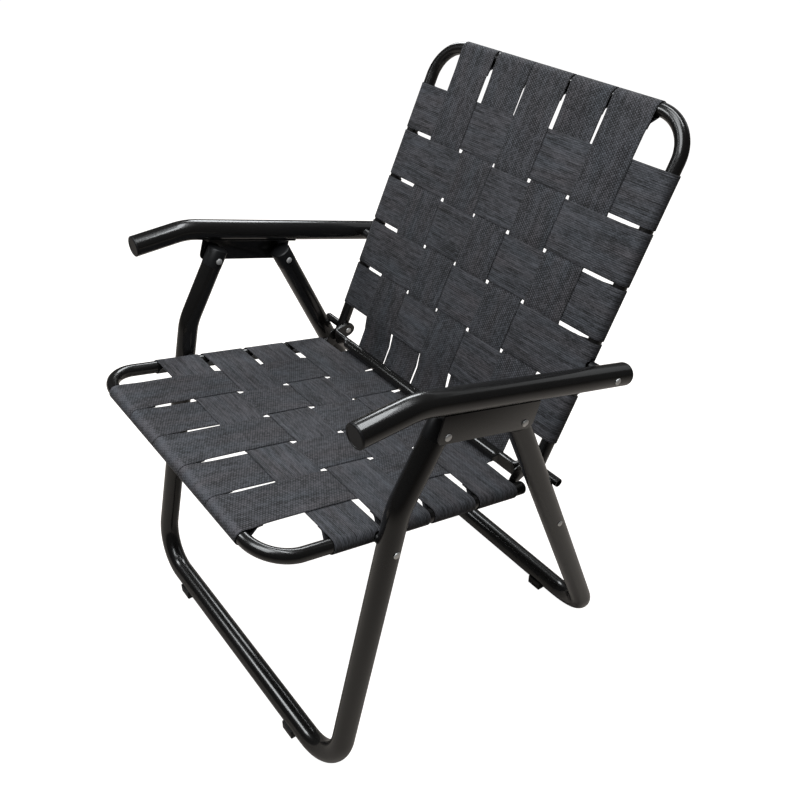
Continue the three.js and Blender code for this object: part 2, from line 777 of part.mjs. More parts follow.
// Seat straps, lengthwise: a loop on the front bar, then under the cross bar and up behind it
const seatOrigin = spot(0, seatFront);
longAt.forEach((x, i) => {
  const crossings = seatCrossAt.map((at, j) => ({ at, over: isOver(i, j) }));
  const crook = spread(5, -90, CROOK_RISE_DEG).map((angle) => pair(
    barAlong + wrapR * Math.cos(rad(angle)),
    barAbove + wrapR * Math.sin(rad(angle)),
  ));
  const path = [...loopPath(-1), ...wovenRun(crossings, CROSS_W), ...crook];
  const origin = seatOrigin.clone().setX(x);
  place(`seat_strap_long_${i + 1}`, ribbon(path, LONG_W, seatRear3, seatUp3, origin), 'web');
});

// Back straps, lengthwise: set back behind the cross bar, up the back, then a loop on the top tube
const hingeOrigin = spot(0, hinge);
const topCross = BACK_CROSS_COUNT - 1;
longAt.forEach((x, i) => {
  const crossings = backCrossAt.map((at, j) => ({ at, over: isOver(i, topCross - j) }));
  const firstEdge = backCrossAt[0] - CROSS_W / 2;
  const foot = [pair(-CROOK_LAP, crookSetback), pair(firstEdge - CROOK_BLEND, crookSetback)];
  const loop = loopPath(1).reverse().map((point) => pair(BACK_RISE + point.x, point.y));
  const path = [...foot, ...wovenRun(crossings, CROSS_W), ...loop];
  const origin = hingeOrigin.clone().setX(x);
  place(`back_strap_long_${i + 1}`, ribbon(path, LONG_W, backUp3, backFront3, origin), 'web');
});

// Cross straps: a loop on each side tube, with room cut round the pivots they pass
function crossStrap(crossings, upWay, origin, pivots) {
  const right = loopPath(-1).map((point) => pair(point.x - RAIL_HALF, point.y));
  const left = loopPath(1).reverse().map((point) => pair(point.x + RAIL_HALF, point.y));
  const path = [...right, ...wovenRun(crossings, LONG_W), ...left];
  const body = ribbon(path, CROSS_W, xWay, upWay, origin);
  const rooms = pivots.flatMap((point) => SIDES.map(([, side]) => (
    sideBore(side, SPACER_R + PIVOT_ROOM, railInner - wrapR, railOuter + LEG_GAP - PIVOT_ROOM, point)
  )));
  return rooms.length > 0 ? cut(body, rooms) : body;
}

const acrossFromRight = [...longAt].reverse();

seatCrossAt.forEach((at, j) => {
  const crossings = acrossFromRight.map((x, k) => ({ at: x, over: !isOver(LONG_COUNT - 1 - k, j) }));
  const origin = seatOrigin.clone().addScaledVector(seatRear3, at);
  const near = Math.abs(at - SEAT_FRONT_RUN) < CROSS_W / 2 + SPACER_R + PIVOT_ROOM;
  const body = crossStrap(crossings, seatUp3, origin, near ? [seatPivot] : []);
  place(`seat_strap_cross_${j + 1}`, body, 'web');
});

backCrossAt.forEach((at, j) => {
  const crossings = acrossFromRight.map((x, k) => (
    { at: x, over: !isOver(LONG_COUNT - 1 - k, topCross - j) }
  ));
  const origin = hingeOrigin.clone().addScaledVector(backUp3, at);
  const near = Math.abs(at - LINK_LENGTH) < CROSS_W / 2 + SPACER_R + PIVOT_ROOM;
  const body = crossStrap(crossings, backFront3, origin, near ? [armBack] : []);
  place(`back_strap_cross_${topCross - j + 1}`, body, 'web');
});

// Origin: the middle of the footprint, on the floor
const extent = new THREE.Box3().setFromObject(chair);
const middle = extent.getCenter(new THREE.Vector3());
for (const mesh of chair.children) {
  mesh.geometry.translate(-middle.x, -middle.y, -extent.min.z);
}

export default chair;
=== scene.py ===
"""Folding webbed lawn chair: smooth tubes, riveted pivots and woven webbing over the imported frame."""

import math
from functools import partial

import bmesh
import bpy
from bpy.props import FloatProperty, FloatVectorProperty, IntProperty, PointerProperty
from bpy.types import Operator, Panel, PropertyGroup
from mathutils import Matrix, Vector


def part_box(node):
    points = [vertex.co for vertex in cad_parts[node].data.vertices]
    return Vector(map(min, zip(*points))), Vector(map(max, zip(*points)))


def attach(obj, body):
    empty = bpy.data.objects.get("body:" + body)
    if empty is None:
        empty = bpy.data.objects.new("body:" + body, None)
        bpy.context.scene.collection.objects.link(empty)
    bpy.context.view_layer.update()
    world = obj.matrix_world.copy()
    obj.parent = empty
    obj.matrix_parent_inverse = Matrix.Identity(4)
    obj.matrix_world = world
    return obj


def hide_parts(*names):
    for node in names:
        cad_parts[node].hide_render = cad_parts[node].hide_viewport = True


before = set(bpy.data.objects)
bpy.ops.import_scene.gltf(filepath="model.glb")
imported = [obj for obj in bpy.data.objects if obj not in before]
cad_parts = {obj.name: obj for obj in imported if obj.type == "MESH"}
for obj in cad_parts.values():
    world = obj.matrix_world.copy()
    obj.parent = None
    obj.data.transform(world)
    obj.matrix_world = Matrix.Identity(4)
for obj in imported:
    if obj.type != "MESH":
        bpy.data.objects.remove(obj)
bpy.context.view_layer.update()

bl_info = {
    "name": "Folding Webbed Lawn Chair",
    "version": (1, 0, 0),
    "blender": (4, 5, 0),
    "location": "View3D > Sidebar > Lawn Chair",
    "description": "Dresses the chair's frame with smooth tubes, rivets and woven webbing",
    "category": "Object",
}


# Places and directions read from the frame

def middle(node):
    """The middle of a node's box, moved to the chair's middle plane."""
    low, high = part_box(node)
    return Vector((0, (low[1] + high[1]) / 2, (low[2] + high[2]) / 2))


def span(node):
    """From where to where a node reaches across the chair."""
    low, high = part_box(node)
    return low[0], high[0]


def reach(node):
    """How far a node reaches to the sitter's left."""
    return span(node)[1]


SEAT_PIVOT = middle("seat_pivot_rivet_left")
ARM_FRONT = middle("front_leg_rivet_left")
ARM_BACK = middle("arm_pivot_rivet_left")
REAR_PIVOT = middle("rear_leg_rivet_left")
HINGE = middle("stop_sleeve_left")
BAR = middle("cross_bar")

X_WAY = Vector((1, 0, 0))
BACK_UP = (ARM_BACK - HINGE).normalized()
BACK_FRONT = X_WAY.cross(BACK_UP)
ARM_REAR = (REAR_PIVOT - ARM_FRONT).normalized()
ARM_UP = X_WAY.cross(ARM_REAR)
SIDES = (("left", 1), ("right", -1))

# How close a point lies to a place to count as on it, in metres
NEAR = 1e-6
# Air under a cap, and round a tube in a fitted bore
SEATED = 0.00006
FITTED = 0.00012
# Width of a softened sheet edge
SOFT_EDGE = 0.0004


# Sizes and colours that a user may change

def length_of(name, description, default):
    return FloatProperty(name=name, description=description, default=default, unit="LENGTH")


def angle_of(name, description, degrees):
    return FloatProperty(name=name, description=description, default=math.radians(degrees), unit="ROTATION")


def count_of(name, description, default, least):
    return IntProperty(name=name, description=description, default=default, min=least)


def colour_of(name, description, default):
    return FloatVectorProperty(
        name=name, description=description, default=default, subtype="COLOR", min=0, max=1)


class ChairSizes(PropertyGroup):
    """Sizes of the dressed chair, in metres and radians."""

    leg_tube: length_of("Leg Tube", "Outside diameter of the leg and arm tubes", 0.032)
    frame_tube: length_of("Frame Tube", "Outside diameter of the seat and back tubes", 0.019)
    tube_wall: length_of("Tube Wall", "Wall of every tube, seen at open ends", 0.0011)
    tube_sides: count_of("Tube Sides", "Points round a tube", 56, 16)
    seat_slope: angle_of("Seat Slope", "Fall of the seat towards the back", 12.1)
    seat_front_run: length_of("Seat Front Run", "From the seat pivot to the front bar", 0.160)
    seat_rear_run: length_of("Seat Rear Run", "From the seat pivot to the ends of the rails", 0.273)
    seat_corner: length_of("Seat Corner", "Bend radius of the seat frame", 0.052)
    back_rise: length_of("Back Rise", "From the hinge to the top tube", 0.504)
    back_tail: length_of("Back Tail", "Back tube below the hinge", 0.013)
    back_corner: length_of("Back Corner", "Bend radius of the back frame", 0.054)
    leg_corner: length_of("Leg Corner", "Bend radius at the floor", 0.068)
    bar_round: length_of("Bar Round Half", "Round half length of the crook bar", 0.1795)
    bar_tongue: length_of("Bar Tongue", "Height of the crook bar's flattened ends", 0.026)
    bar_flat: length_of("Bar Flat", "Thickness of the crook bar's flattened ends", 0.0070)
    bar_shoulder: length_of("Bar Shoulder", "Run in which the crook bar goes from round to flat", 0.009)
    bar_bend: length_of("Bar Bend", "Bend radius of the crook bar's flattened ends", 0.006)
    leg_kink: length_of("Leg Kink", "Front leg's bend, above the seat pivot", 0.0575)
    kink_radius: length_of("Kink Radius", "Bend radius of the front leg's kink", 0.090)
    leg_top: length_of("Leg Top", "Leg tube above its top rivet", 0.014)
    cap_skirt: length_of("Cap Skirt", "How far a leg cap comes down over its tube", 0.026)
    side_rivet: length_of("Side Rivet", "Plain rivet of the rear leg, below its top rivet", 0.2600)
    arm_bend_run: length_of("Arm Bend Run", "From the back rivet to the arm's bend", 0.349)
    arm_bend: angle_of("Arm Bend", "How far the nose of the arm turns down", 18)
    arm_nose: length_of("Arm Nose", "Length of the nose past the bend", 0.085)
    arm_bend_radius: length_of("Arm Bend Radius", "Bend radius of the arm", 0.110)
    arm_tail: length_of("Arm Tail", "Arm behind the back rivet", 0.031)
    bracket_sheet: length_of("Bracket Sheet", "Thickness of the arm brackets", 0.002)
    long_width: length_of("Lengthwise Width", "Width of the lengthwise straps", 0.0672)
    cross_width: length_of("Crosswise Width", "Width of the cross straps", 0.074)
    web_thickness: length_of("Webbing Thickness", "Thickness of every strap", 0.0012)
    web_gap: length_of("Wrap Gap", "Air between a strap and the tube that it wraps", 0.00035)
    weave: length_of("Weave Height", "How far a strap rises and falls at a crossing", 0.0009)
    long_pitch: length_of("Lengthwise Pitch", "Spacing of the lengthwise straps", 0.0722)
    web_columns: count_of("Strap Columns", "Faces across a strap", 12, 4)


class ChairColours(PropertyGroup):
    """Colours of the chair's finishes and of the floor."""

    paint: colour_of("Paint", "Satin black of the tubes", (0.0030, 0.0028, 0.0027))
    plastic: colour_of("Plastic", "Caps and feet", (0.0050, 0.0053, 0.0062))
    rivet: colour_of("Rivet", "Bare rivet heads", (0.86, 0.86, 0.85))
    yarn_dark: colour_of("Dark Yarn", "Hollows of the weave", (0.0030, 0.0031, 0.0035))
    yarn_cool: colour_of("Cool Yarn", "Bluish crowns of the weave", (0.059, 0.065, 0.077))
    yarn_warm: colour_of("Warm Yarn", "Greyer crowns of the weave", (0.071, 0.065, 0.072))
    floor: colour_of("Floor", "Pale studio floor", (0.480, 0.432, 0.388))


# Modelling helpers

def clear_selection():
    """Leaves edit mode and deselects everything."""
    if bpy.context.object is not None and bpy.context.object.mode != "OBJECT":
        bpy.ops.object.mode_set(mode="OBJECT")
    bpy.ops.object.select_all(action="DESELECT")


def apply_place():
    bpy.ops.object.transform_apply(location=True, rotation=True, scale=True)


def edit_all():
    """Goes into edit mode with the whole mesh selected."""
    bpy.ops.object.mode_set(mode="EDIT")
    bpy.ops.mesh.select_all(action="SELECT")


def basis(x_way, y_way, place):
    """A turn and a place as one matrix, from two directions at right angles."""
    z_way = x_way.cross(y_way)
    turn = Matrix((x_way, y_way, z_way)).transposed()
    return Matrix.Translation(place) @ turn.to_4x4()


def facing(way):
    """The turn that carries the upright onto a direction."""
    return way.to_track_quat("Z", "Y").to_euler()


def eased(share):
    """0 to 1 with a soft start and a soft end."""
    return share * share * (3 - 2 * share)


def pick(obj, test):
    """Selects in edit mode the points that pass the test, and what lies wholly between them."""
    mesh = bmesh.from_edit_mesh(obj.data)
    for part in (*mesh.faces, *mesh.edges, *mesh.verts):
        part.select = False
    for vert in mesh.verts:
        vert.select = bool(test(vert.co))
    mesh.select_flush(True)
    bmesh.update_edit_mesh(obj.data)


def extrude(move):
    bpy.ops.mesh.extrude_region_move(TRANSFORM_OT_translate={"value": tuple(move)})


def scale_about(factor, centre):
    bpy.ops.transform.resize(value=(factor, factor, factor), center_override=tuple(centre))


def swing(angle, centre, axis, steps):
    """Sweeps what is selected round an axis, by the right-hand rule."""
    bpy.ops.mesh.spin(steps=steps, angle=-angle, center=tuple(centre), axis=tuple(axis))


def apply_modifier(obj, kind, **settings):
    modifier = obj.modifiers.new(kind.title(), kind)
    for key, value in settings.items():
        setattr(modifier, key, value)
    bpy.context.view_layer.objects.active = obj
    bpy.ops.object.modifier_apply(modifier=modifier.name)


def soften(obj, width, sharp):
    """Rounds the edges that are sharper than an angle in degrees."""
    apply_modifier(
        obj, "BEVEL", width=width, segments=2, limit_method="ANGLE", angle_limit=math.radians(sharp))


def face_outwards():
    edit_all()
    bpy.ops.mesh.normals_make_consistent(inside=False)
    bpy.ops.object.mode_set(mode="OBJECT")


def settle(obj, name, body, look, nodes, angle=38):
    """Names a finished piece, gives it its finish and hangs it on its body."""
    clear_selection()
    obj.select_set(True)
    bpy.context.view_layer.objects.active = obj
    bpy.ops.object.shade_smooth_by_angle(angle=math.radians(angle))
    obj.name = name
    obj.data.name = name
    obj.data.materials.clear()
    obj.data.materials.append(finish(look))
    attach(obj, body)
    if nodes:
        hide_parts(*nodes)
    obj.select_set(False)


def copy_of(obj, matrix):
    """A copy with its own mesh, moved in its mesh."""
    made = obj.copy()
    made.data = obj.data.copy()
    bpy.context.scene.collection.objects.link(made)
    made.data.transform(matrix)
    return made


def settle_pair(obj, place, name, body, look, node=None):
    """Settles a turned piece on the left, and a copy of it, half a turn about the upright, on the right."""
    there = Matrix.Translation(Vector((0, place.y, 0)))
    twin = copy_of(obj, there @ Matrix.Rotation(math.pi, 4, "Z") @ there.inverted())
    for word, piece in (("left", obj), ("right", twin)):
        settle(piece, f"{name}_{word}", body, look, [f"{node}_{word}"] if node else [], 30)


def bent_tube(corners, radius, sides, wall, mouth=0.02):
    """A tube along straight runs with true bends, hollow at both ends.

    A corner is a point and a bend radius.
    """
    points = [Vector(point) for point, _ in corners]
    ways = [(b - a).normalized() for a, b in zip(points, points[1:])]
    bend_step = 5
    clear_selection()
    bpy.ops.mesh.primitive_circle_add(
        vertices=sides, radius=radius, fill_type="NOTHING", location=points[0], rotation=facing(ways[0]))
    obj = bpy.context.object
    apply_place()
    edit_all()
    here = points[0]
    for i in range(1, len(points) - 1):
        before, after = ways[i - 1], ways[i]
        bend = corners[i][1]
        angle = before.angle(after)
        axis = before.cross(after).normalized()
        start = points[i] - before * bend * math.tan(angle / 2)
        extrude(start - here)
        centre = start + axis.cross(before) * bend
        swing(angle, centre, axis, max(3, round(math.degrees(angle) / bend_step)))
        here = points[i] + after * bend * math.tan(angle / 2)
    extrude(points[-1] - here)
    close_mouth(points[-1], ways[-1], radius, wall, mouth)
    first, way = points[0], ways[0]
    pick(obj, lambda co: abs((co - first).dot(way)) < NEAR and (co - first).length < radius * 1.01)
    close_mouth(first, -way, radius, wall, mouth)
    bpy.ops.object.mode_set(mode="OBJECT")
    face_outwards()
    return obj


def close_mouth(centre, out, radius, wall, depth):
    """Rolls the selected end ring over its wall and closes the bore deep inside."""
    extrude((0, 0, 0))
    scale_about((radius - wall) / radius, centre)
    extrude(-out * depth)
    bpy.ops.mesh.edge_face_add()


def turned(profile, centre, axis, sides):
    """A turned piece: rings of (radius, distance along the axis), closed at both ends."""
    clear_selection()
    radius, along = profile[0]
    bpy.ops.mesh.primitive_circle_add(
        vertices=sides, radius=radius, fill_type="NGON", location=centre + axis * along,
        rotation=facing(axis))
    obj = bpy.context.object
    apply_place()
    edit_all()
    for next_radius, next_along in profile[1:]:
        extrude(axis * (next_along - along))
        scale_about(next_radius / radius, centre + axis * next_along)
        radius, along = next_radius, next_along
    bpy.ops.object.mode_set(mode="OBJECT")
    face_outwards()
    return obj


def dome(radius, height, base, way, steps):
    """Rings of a low dome from its rim almost to its crown."""
    sweep = math.radians(86)
    angles = [i / steps * sweep for i in range(steps + 1)]
    return [(radius * math.cos(angle), base + way * height * math.sin(angle)) for angle in angles]


# Finishes

def socket_group(name, inputs, outputs):
    """A shader node group with named sockets, and its two end nodes."""
    group = bpy.data.node_groups.new(name, "ShaderNodeTree")
    kinds = {"value": "NodeSocketFloat", "colour": "NodeSocketColor", "place": "NodeSocketVector"}
    for label, kind, default in inputs:
        made = group.interface.new_socket(name=label, in_out="INPUT", socket_type=kinds[kind])
        if default is not None:
            made.default_value = default
    for label, kind in outputs:
        group.interface.new_socket(name=label, in_out="OUTPUT", socket_type=kinds[kind])
    return group, group.nodes.new("NodeGroupInput"), group.nodes.new("NodeGroupOutput")


def link(tree, value, socket):
    """Links a node's output to a socket, or sets a plain value on it."""
    if isinstance(value, bpy.types.NodeSocket):
        tree.links.new(value, socket)
    else:
        socket.default_value = value


def sums(tree, operation, *values):
    node = tree.nodes.new("ShaderNodeMath")
    node.operation = operation
    for value, socket in zip(values, node.inputs):
        link(tree, value, socket)
    return node.outputs[0]


def between(tree, value, low, high):
    """Carries 0 to 1 onto low to high."""
    node = tree.nodes.new("ShaderNodeMapRange")
    link(tree, value, node.inputs["Value"])
    node.inputs["To Min"].default_value = low
    node.inputs["To Max"].default_value = high
    return node.outputs["Result"]


def grain(tree, place, scale, detail, roughness):
    """Soft noise over a place, from its scale, detail and roughness."""
    node = tree.nodes.new("ShaderNodeTexNoise")
    tree.links.new(place, node.inputs["Vector"])
    link(tree, scale, node.inputs["Scale"])
    node.inputs["Detail"].default_value = detail
    node.inputs["Roughness"].default_value = roughness
    return node.outputs["Fac"]


def drawn_out(tree, across, along, fine, coarse):
    """Strap coordinates drawn out along the strap."""
    place = tree.nodes.new("ShaderNodeCombineXYZ")
    link(tree, sums(tree, "MULTIPLY", across, fine), place.inputs[0])
    link(tree, sums(tree, "MULTIPLY", along, coarse), place.inputs[1])
    return place.outputs[0]


def blend_colours(tree, share, first, second):
    node = tree.nodes.new("ShaderNodeMix")
    node.data_type = "RGBA"
    link(tree, share, node.inputs["Factor"])
    link(tree, first, node.inputs["A"])
    link(tree, second, node.inputs["B"])
    return node.outputs["Result"]


def coated_surface_group():
    """Baked or moulded surface: soft peel, uneven sheen and a little dust."""
    group, start, end = socket_group(
        "coated_surface",
        [("Place", "place", None), ("Peel", "value", 900.0), ("Colour", "colour", (0.02, 0.02, 0.02, 1)),
         ("Dust", "colour", (0.1, 0.1, 0.1, 1)), ("Dust Share", "value", 0.05),
         ("Low Gloss", "value", 0.3), ("High Gloss", "value", 0.4)],
        [("Colour", "colour"), ("Roughness", "value"), ("Height", "value")])
    given = start.outputs
    calc = partial(sums, group)
    patches = grain(group, given["Place"], 14.0, 4.0, 0.6)
    specks = grain(group, given["Place"], 420.0, 3.0, 0.7)
    peel = grain(group, given["Place"], given["Peel"], 1.0, 0.4)
    share = calc("MULTIPLY", calc("MULTIPLY", patches, specks), given["Dust Share"])
    link(group, blend_colours(group, share, given["Colour"], given["Dust"]), end.inputs["Colour"])
    spread = calc("SUBTRACT", given["High Gloss"], given["Low Gloss"])
    gloss = calc("MULTIPLY_ADD", patches, spread, given["Low Gloss"])
    link(group, calc("MULTIPLY_ADD", specks, 0.04, gloss), end.inputs["Roughness"])
    link(group, peel, end.inputs["Height"])
    return group


def woven_webbing_group():
    """Ribbed webbing: warp ribs along the strap, uneven weft knuckles across it and streaks in the yarn."""
    group, start, end = socket_group(
        "woven_webbing",
        [("Strap", "place", None), ("Rib", "value", 0.0029), ("Knuckle", "value", 0.0036),
         ("Rib Depth", "value", 0.7), ("Knuckle Depth", "value", 0.7), ("Uneven", "value", 0.5),
         ("Streaks", "value", 0.3), ("Bands", "value", 0.3), ("Level", "value", 0.7),
         ("Width", "value", 0.0685), ("Painted Highlight", "value", 0.0), ("Dark", "colour", (0.02, 0.02, 0.02, 1)),
         ("Cool Light", "colour", (0.09, 0.09, 0.1, 1)), ("Warm Light", "colour", (0.1, 0.09, 0.09, 1))],
        [("Colour", "colour"), ("Roughness", "value"), ("Height", "value")])
    given = start.outputs
    calc = partial(sums, group)
    split = group.nodes.new("ShaderNodeSeparateXYZ")
    group.links.new(given["Strap"], split.inputs[0])
    across, along = split.outputs[0], split.outputs[1]

    # Ribs along the strap, and knuckles that step by half from rib to rib
    ribs = calc("DIVIDE", across, given["Rib"])
    row = calc("FLOOR", ribs)
    stagger = calc("MULTIPLY_ADD", row, 0.5, calc("DIVIDE", along, given["Knuckle"]))
    heights = []
    for place, depth in ((ribs, given["Rib Depth"]), (stagger, given["Knuckle Depth"])):
        wave = calc("SINE", calc("MULTIPLY", calc("FRACT", place), math.pi))
        heights.append(calc("MULTIPLY_ADD", wave, depth, calc("SUBTRACT", 1.0, depth)))
    relief = calc("MULTIPLY", *heights)

    # Uneven stitches, streaks and bands in the yarn, a strap's darker selvedge with painted shade along its
    # edges, and a painted highlight on its crest where it rolls over a tube
    stitch = group.nodes.new("ShaderNodeCombineXYZ")
    link(group, row, stitch.inputs[0])
    link(group, calc("FLOOR", stagger), stitch.inputs[1])
    chance = group.nodes.new("ShaderNodeTexWhiteNoise")
    chance.noise_dimensions = "2D"
    link(group, stitch.outputs[0], chance.inputs["Vector"])
    streak = grain(group, drawn_out(group, across, along, 620.0, 30.0), 1.0, 2.0, 0.6)
    band = grain(group, drawn_out(group, across, along, 150.0, 5.0), 1.0, 3.0, 0.6)
    patches = grain(group, given["Strap"], 22.0, 3.0, 0.55)
    tone = grain(group, drawn_out(group, across, along, 40.0, 9.0), 1.0, 1.0, 0.5)
    # Darker selvedge yarn, and painted shade along a strap's edges
    selvedge_and_edge_shade = group.nodes.new("ShaderNodeMapRange")
    selvedge_and_edge_shade.interpolation_type = "SMOOTHSTEP"
    from_edge = calc("MINIMUM", across, calc("SUBTRACT", given["Width"], across))
    link(group, from_edge, selvedge_and_edge_shade.inputs["Value"])
    selvedge_and_edge_shade.inputs["From Max"].default_value = 0.0022
    selvedge_and_edge_shade.inputs["To Min"].default_value = 0.72

    shade = calc("MULTIPLY", relief, given["Level"])
    for value, share in ((chance.outputs["Value"], given["Uneven"]), (streak, given["Streaks"]),
                         (band, given["Bands"]), (patches, 0.6)):
        shade = calc("MULTIPLY_ADD", calc("SUBTRACT", value, 0.5), share, shade)
    # Painted highlight on the crest where a strap rolls over a tube, mottled by noise
    highlight_mottle = grain(group, given["Strap"], 120.0, 3.0, 0.65)
    crest_highlight = calc("MULTIPLY", given["Painted Highlight"], between(group, highlight_mottle, -0.55, 1.75))
    shade = calc("MULTIPLY", calc("ADD", shade, crest_highlight), selvedge_and_edge_shade.outputs["Result"])
    clamp = group.nodes.new("ShaderNodeClamp")
    link(group, shade, clamp.inputs[0])
    light = blend_colours(
        group, between(group, tone, -0.5, 1.5), given["Cool Light"], given["Warm Light"])
    colour = blend_colours(group, clamp.outputs[0], given["Dark"], light)
    link(group, colour, end.inputs["Colour"])
    link(group, between(group, clamp.outputs[0], 0.92, 0.74), end.inputs["Roughness"])
    link(group, calc("MULTIPLY_ADD", streak, 0.25, relief), end.inputs["Height"])
    return group


def surface_material(name, group, values, place, bump, **shader):
    """A material whose group gives colour, roughness and height to one shader."""
    made = bpy.data.materials.new(name)
    made.use_nodes = True
    tree = made.node_tree
    principled = tree.nodes["Principled BSDF"]
    for label, value in shader.items():
        principled.inputs[label.replace("_", " ")].default_value = value
    coordinates = tree.nodes.new("ShaderNodeTexCoord")
    pattern = tree.nodes.new("ShaderNodeGroup")
    pattern.node_tree = group
    tree.links.new(coordinates.outputs[place], pattern.inputs[0])
    for label, value in values.items():
        pattern.inputs[label].default_value = value
    # The painted highlight on a strap's rolled crest comes from an attribute of its points
    if "Painted Highlight" in pattern.inputs:
        marks = tree.nodes.new("ShaderNodeAttribute")
        marks.attribute_name = "painted_highlight"
        tree.links.new(marks.outputs["Fac"], pattern.inputs["Painted Highlight"])
    relief = tree.nodes.new("ShaderNodeBump")
    relief.inputs["Strength"].default_value = bump[0]
    relief.inputs["Distance"].default_value = bump[1]
    tree.links.new(pattern.outputs["Colour"], principled.inputs["Base Color"])
    tree.links.new(pattern.outputs["Roughness"], principled.inputs["Roughness"])
    tree.links.new(pattern.outputs["Height"], relief.inputs["Height"])
    tree.links.new(relief.outputs["Normal"], principled.inputs["Normal"])
    return made


def coated(name, colour, peel, dust, dust_share, gloss, bump, **shader):
    """A painted, moulded or bare finish, on the shared coated surface."""
    group = bpy.data.node_groups.get("coated_surface") or coated_surface_group()
    values = {"Peel": peel, "Colour": (*colour, 1), "Dust": (*dust, 1), "Dust Share": dust_share,
              "Low Gloss": gloss[0], "High Gloss": gloss[1]}
    return surface_material(name, group, values, "Object", (bump, 0.0003), **shader)


def webbed(name, width, **values):
    """A strap's finish, on the shared woven webbing."""
    colours = bpy.context.scene.chair_colours
    group = bpy.data.node_groups.get("woven_webbing") or woven_webbing_group()
    settings = {key.replace("_", " "): value for key, value in values.items()}
    settings.update({"Width": width, "Dark": (*colours.yarn_dark, 1), "Cool Light": (*colours.yarn_cool, 1),
                     "Warm Light": (*colours.yarn_warm, 1)})
    return surface_material(
        name, group, settings, "UV", (0.55, 0.0006), Sheen_Weight=0.06, Sheen_Roughness=0.5)


def finish(name):
    """A finish by its name, made when it is first asked for."""
    found = bpy.data.materials.get(name)
    if found is not None:
        return found
    colours = bpy.context.scene.chair_colours
    sizes = bpy.context.scene.chair_sizes
    if name == "satin_black_paint":
        return coated(name, colours.paint, peel=900.0, dust=(0.16, 0.15, 0.14), dust_share=0.05,
                      gloss=(0.17, 0.28), bump=0.004, Coat_Weight=0.40, Coat_Roughness=0.05)
    if name == "moulded_black":
        return coated(name, colours.plastic, peel=1600.0, dust=(0.14, 0.13, 0.12), dust_share=0.08,
                      gloss=(0.26, 0.42), bump=0.10, Specular_IOR_Level=0.3)
    if name == "bare_rivet":
        return coated(name, colours.rivet, peel=1300.0, dust=(0.25, 0.24, 0.22), dust_share=0.5,
                      gloss=(0.22, 0.40), bump=0.10, Metallic=0.6)
    if name == "webbing_lengthwise":
        return webbed(name, sizes.long_width, Rib=0.0030, Knuckle=0.0041, Rib_Depth=0.8,
                      Knuckle_Depth=0.95, Uneven=0.45, Streaks=0.6, Bands=0.8, Level=0.93)
    if name == "webbing_crosswise":
        return webbed(name, sizes.cross_width, Rib=0.0027, Knuckle=0.0060, Rib_Depth=0.6,
                      Knuckle_Depth=0.35, Uneven=0.35, Streaks=1.7, Bands=1.2, Level=0.74)
    raise ValueError(f"no finish named {name}")


# Frames

class CHAIR_OT_leg_frames(Operator):
    """Front and rear leg tubes, each bent across the floor"""

    bl_idname = "chair.leg_frames"
    bl_label = "Leg Frames"

    def execute(self, context):
        sizes = context.scene.chair_sizes
        legs = leg_lines(sizes)
        radius = sizes.leg_tube / 2
        for end in ("front", "rear"):
            node = f"{end}_leg_frame"
            wide = reach(node) - radius
            right = [(point - X_WAY * wide, bend) for point, bend in legs[end]]
            left = [(point + X_WAY * wide, bend) for point, bend in reversed(legs[end])]
            obj = bent_tube(right + left, radius, sizes.tube_sides, sizes.tube_wall)
            settle(obj, f"{end}_leg_tube", f"{end}_legs", "satin_black_paint", [node])
        return {"FINISHED"}


def leg_lines(sizes):
    """Side views of the two leg frames, from the top down to the floor, and which way their tops point."""
    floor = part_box("front_leg_frame")[0][2] + sizes.leg_tube / 2
    front_foot = middle("front_foot_left")
    front_foot.z = floor
    rear_foot = middle("rear_foot_left")
    rear_foot.z = floor
    shin = (SEAT_PIVOT - front_foot).normalized()
    kink = SEAT_PIVOT + shin * sizes.leg_kink
    thigh = (ARM_FRONT - kink).normalized()
    lean = (REAR_PIVOT - rear_foot).normalized()
    return {
        "front": [(ARM_FRONT + thigh * sizes.leg_top, 0), (kink, sizes.kink_radius),
                  (front_foot, sizes.leg_corner)],
        "rear": [(REAR_PIVOT + lean * sizes.leg_top, 0), (rear_foot, sizes.leg_corner)],
        "front_way": thigh,
        "rear_way": lean,
    }


def seat_ways(sizes):
    """Directions along and above the seat, and the front bar's axis."""
    rear = Vector((0, math.cos(sizes.seat_slope), -math.sin(sizes.seat_slope)))
    up = X_WAY.cross(rear)
    return rear, up, SEAT_PIVOT - rear * sizes.seat_front_run


class CHAIR_OT_panel_frames(Operator):
    """Seat frame, back frame and the cross bar in the crook"""

    bl_idname = "chair.panel_frames"
    bl_label = "Seat and Back Frames"

    def execute(self, context):
        sizes = context.scene.chair_sizes
        radius = sizes.frame_tube / 2
        wide = X_WAY * (reach("seat_frame") - radius)
        mouth = 0.012
        rear, _, front = seat_ways(sizes)
        rail_end = SEAT_PIVOT + rear * sizes.seat_rear_run
        top = HINGE + BACK_UP * sizes.back_rise
        foot = HINGE - BACK_UP * sizes.back_tail
        for body, end, far, bend in (
            ("seat", rail_end, front, sizes.seat_corner),
            ("back", foot, top, sizes.back_corner),
        ):
            corners = [(end - wide, 0), (far - wide, bend), (far + wide, bend), (end + wide, 0)]
            obj = bent_tube(corners, radius, slim_sides(sizes), sizes.tube_wall, mouth)
            settle(obj, f"{body}_tube", body, "satin_black_paint", [f"{body}_frame"])
        settle(crook_bar(sizes), "crook_bar", "seat", "satin_black_paint", ["cross_bar"])
        return {"FINISHED"}


def slim_sides(sizes):
    """Points round a seat or back tube, which is slimmer than a leg."""
    return sizes.tube_sides - 8


def tongue_middle(sizes):
    """How far out the crook bar's flattened ends lie, just inside the hinge plates."""
    air = 0.0001
    return reach("cross_bar") - sizes.bar_flat / 2 - air


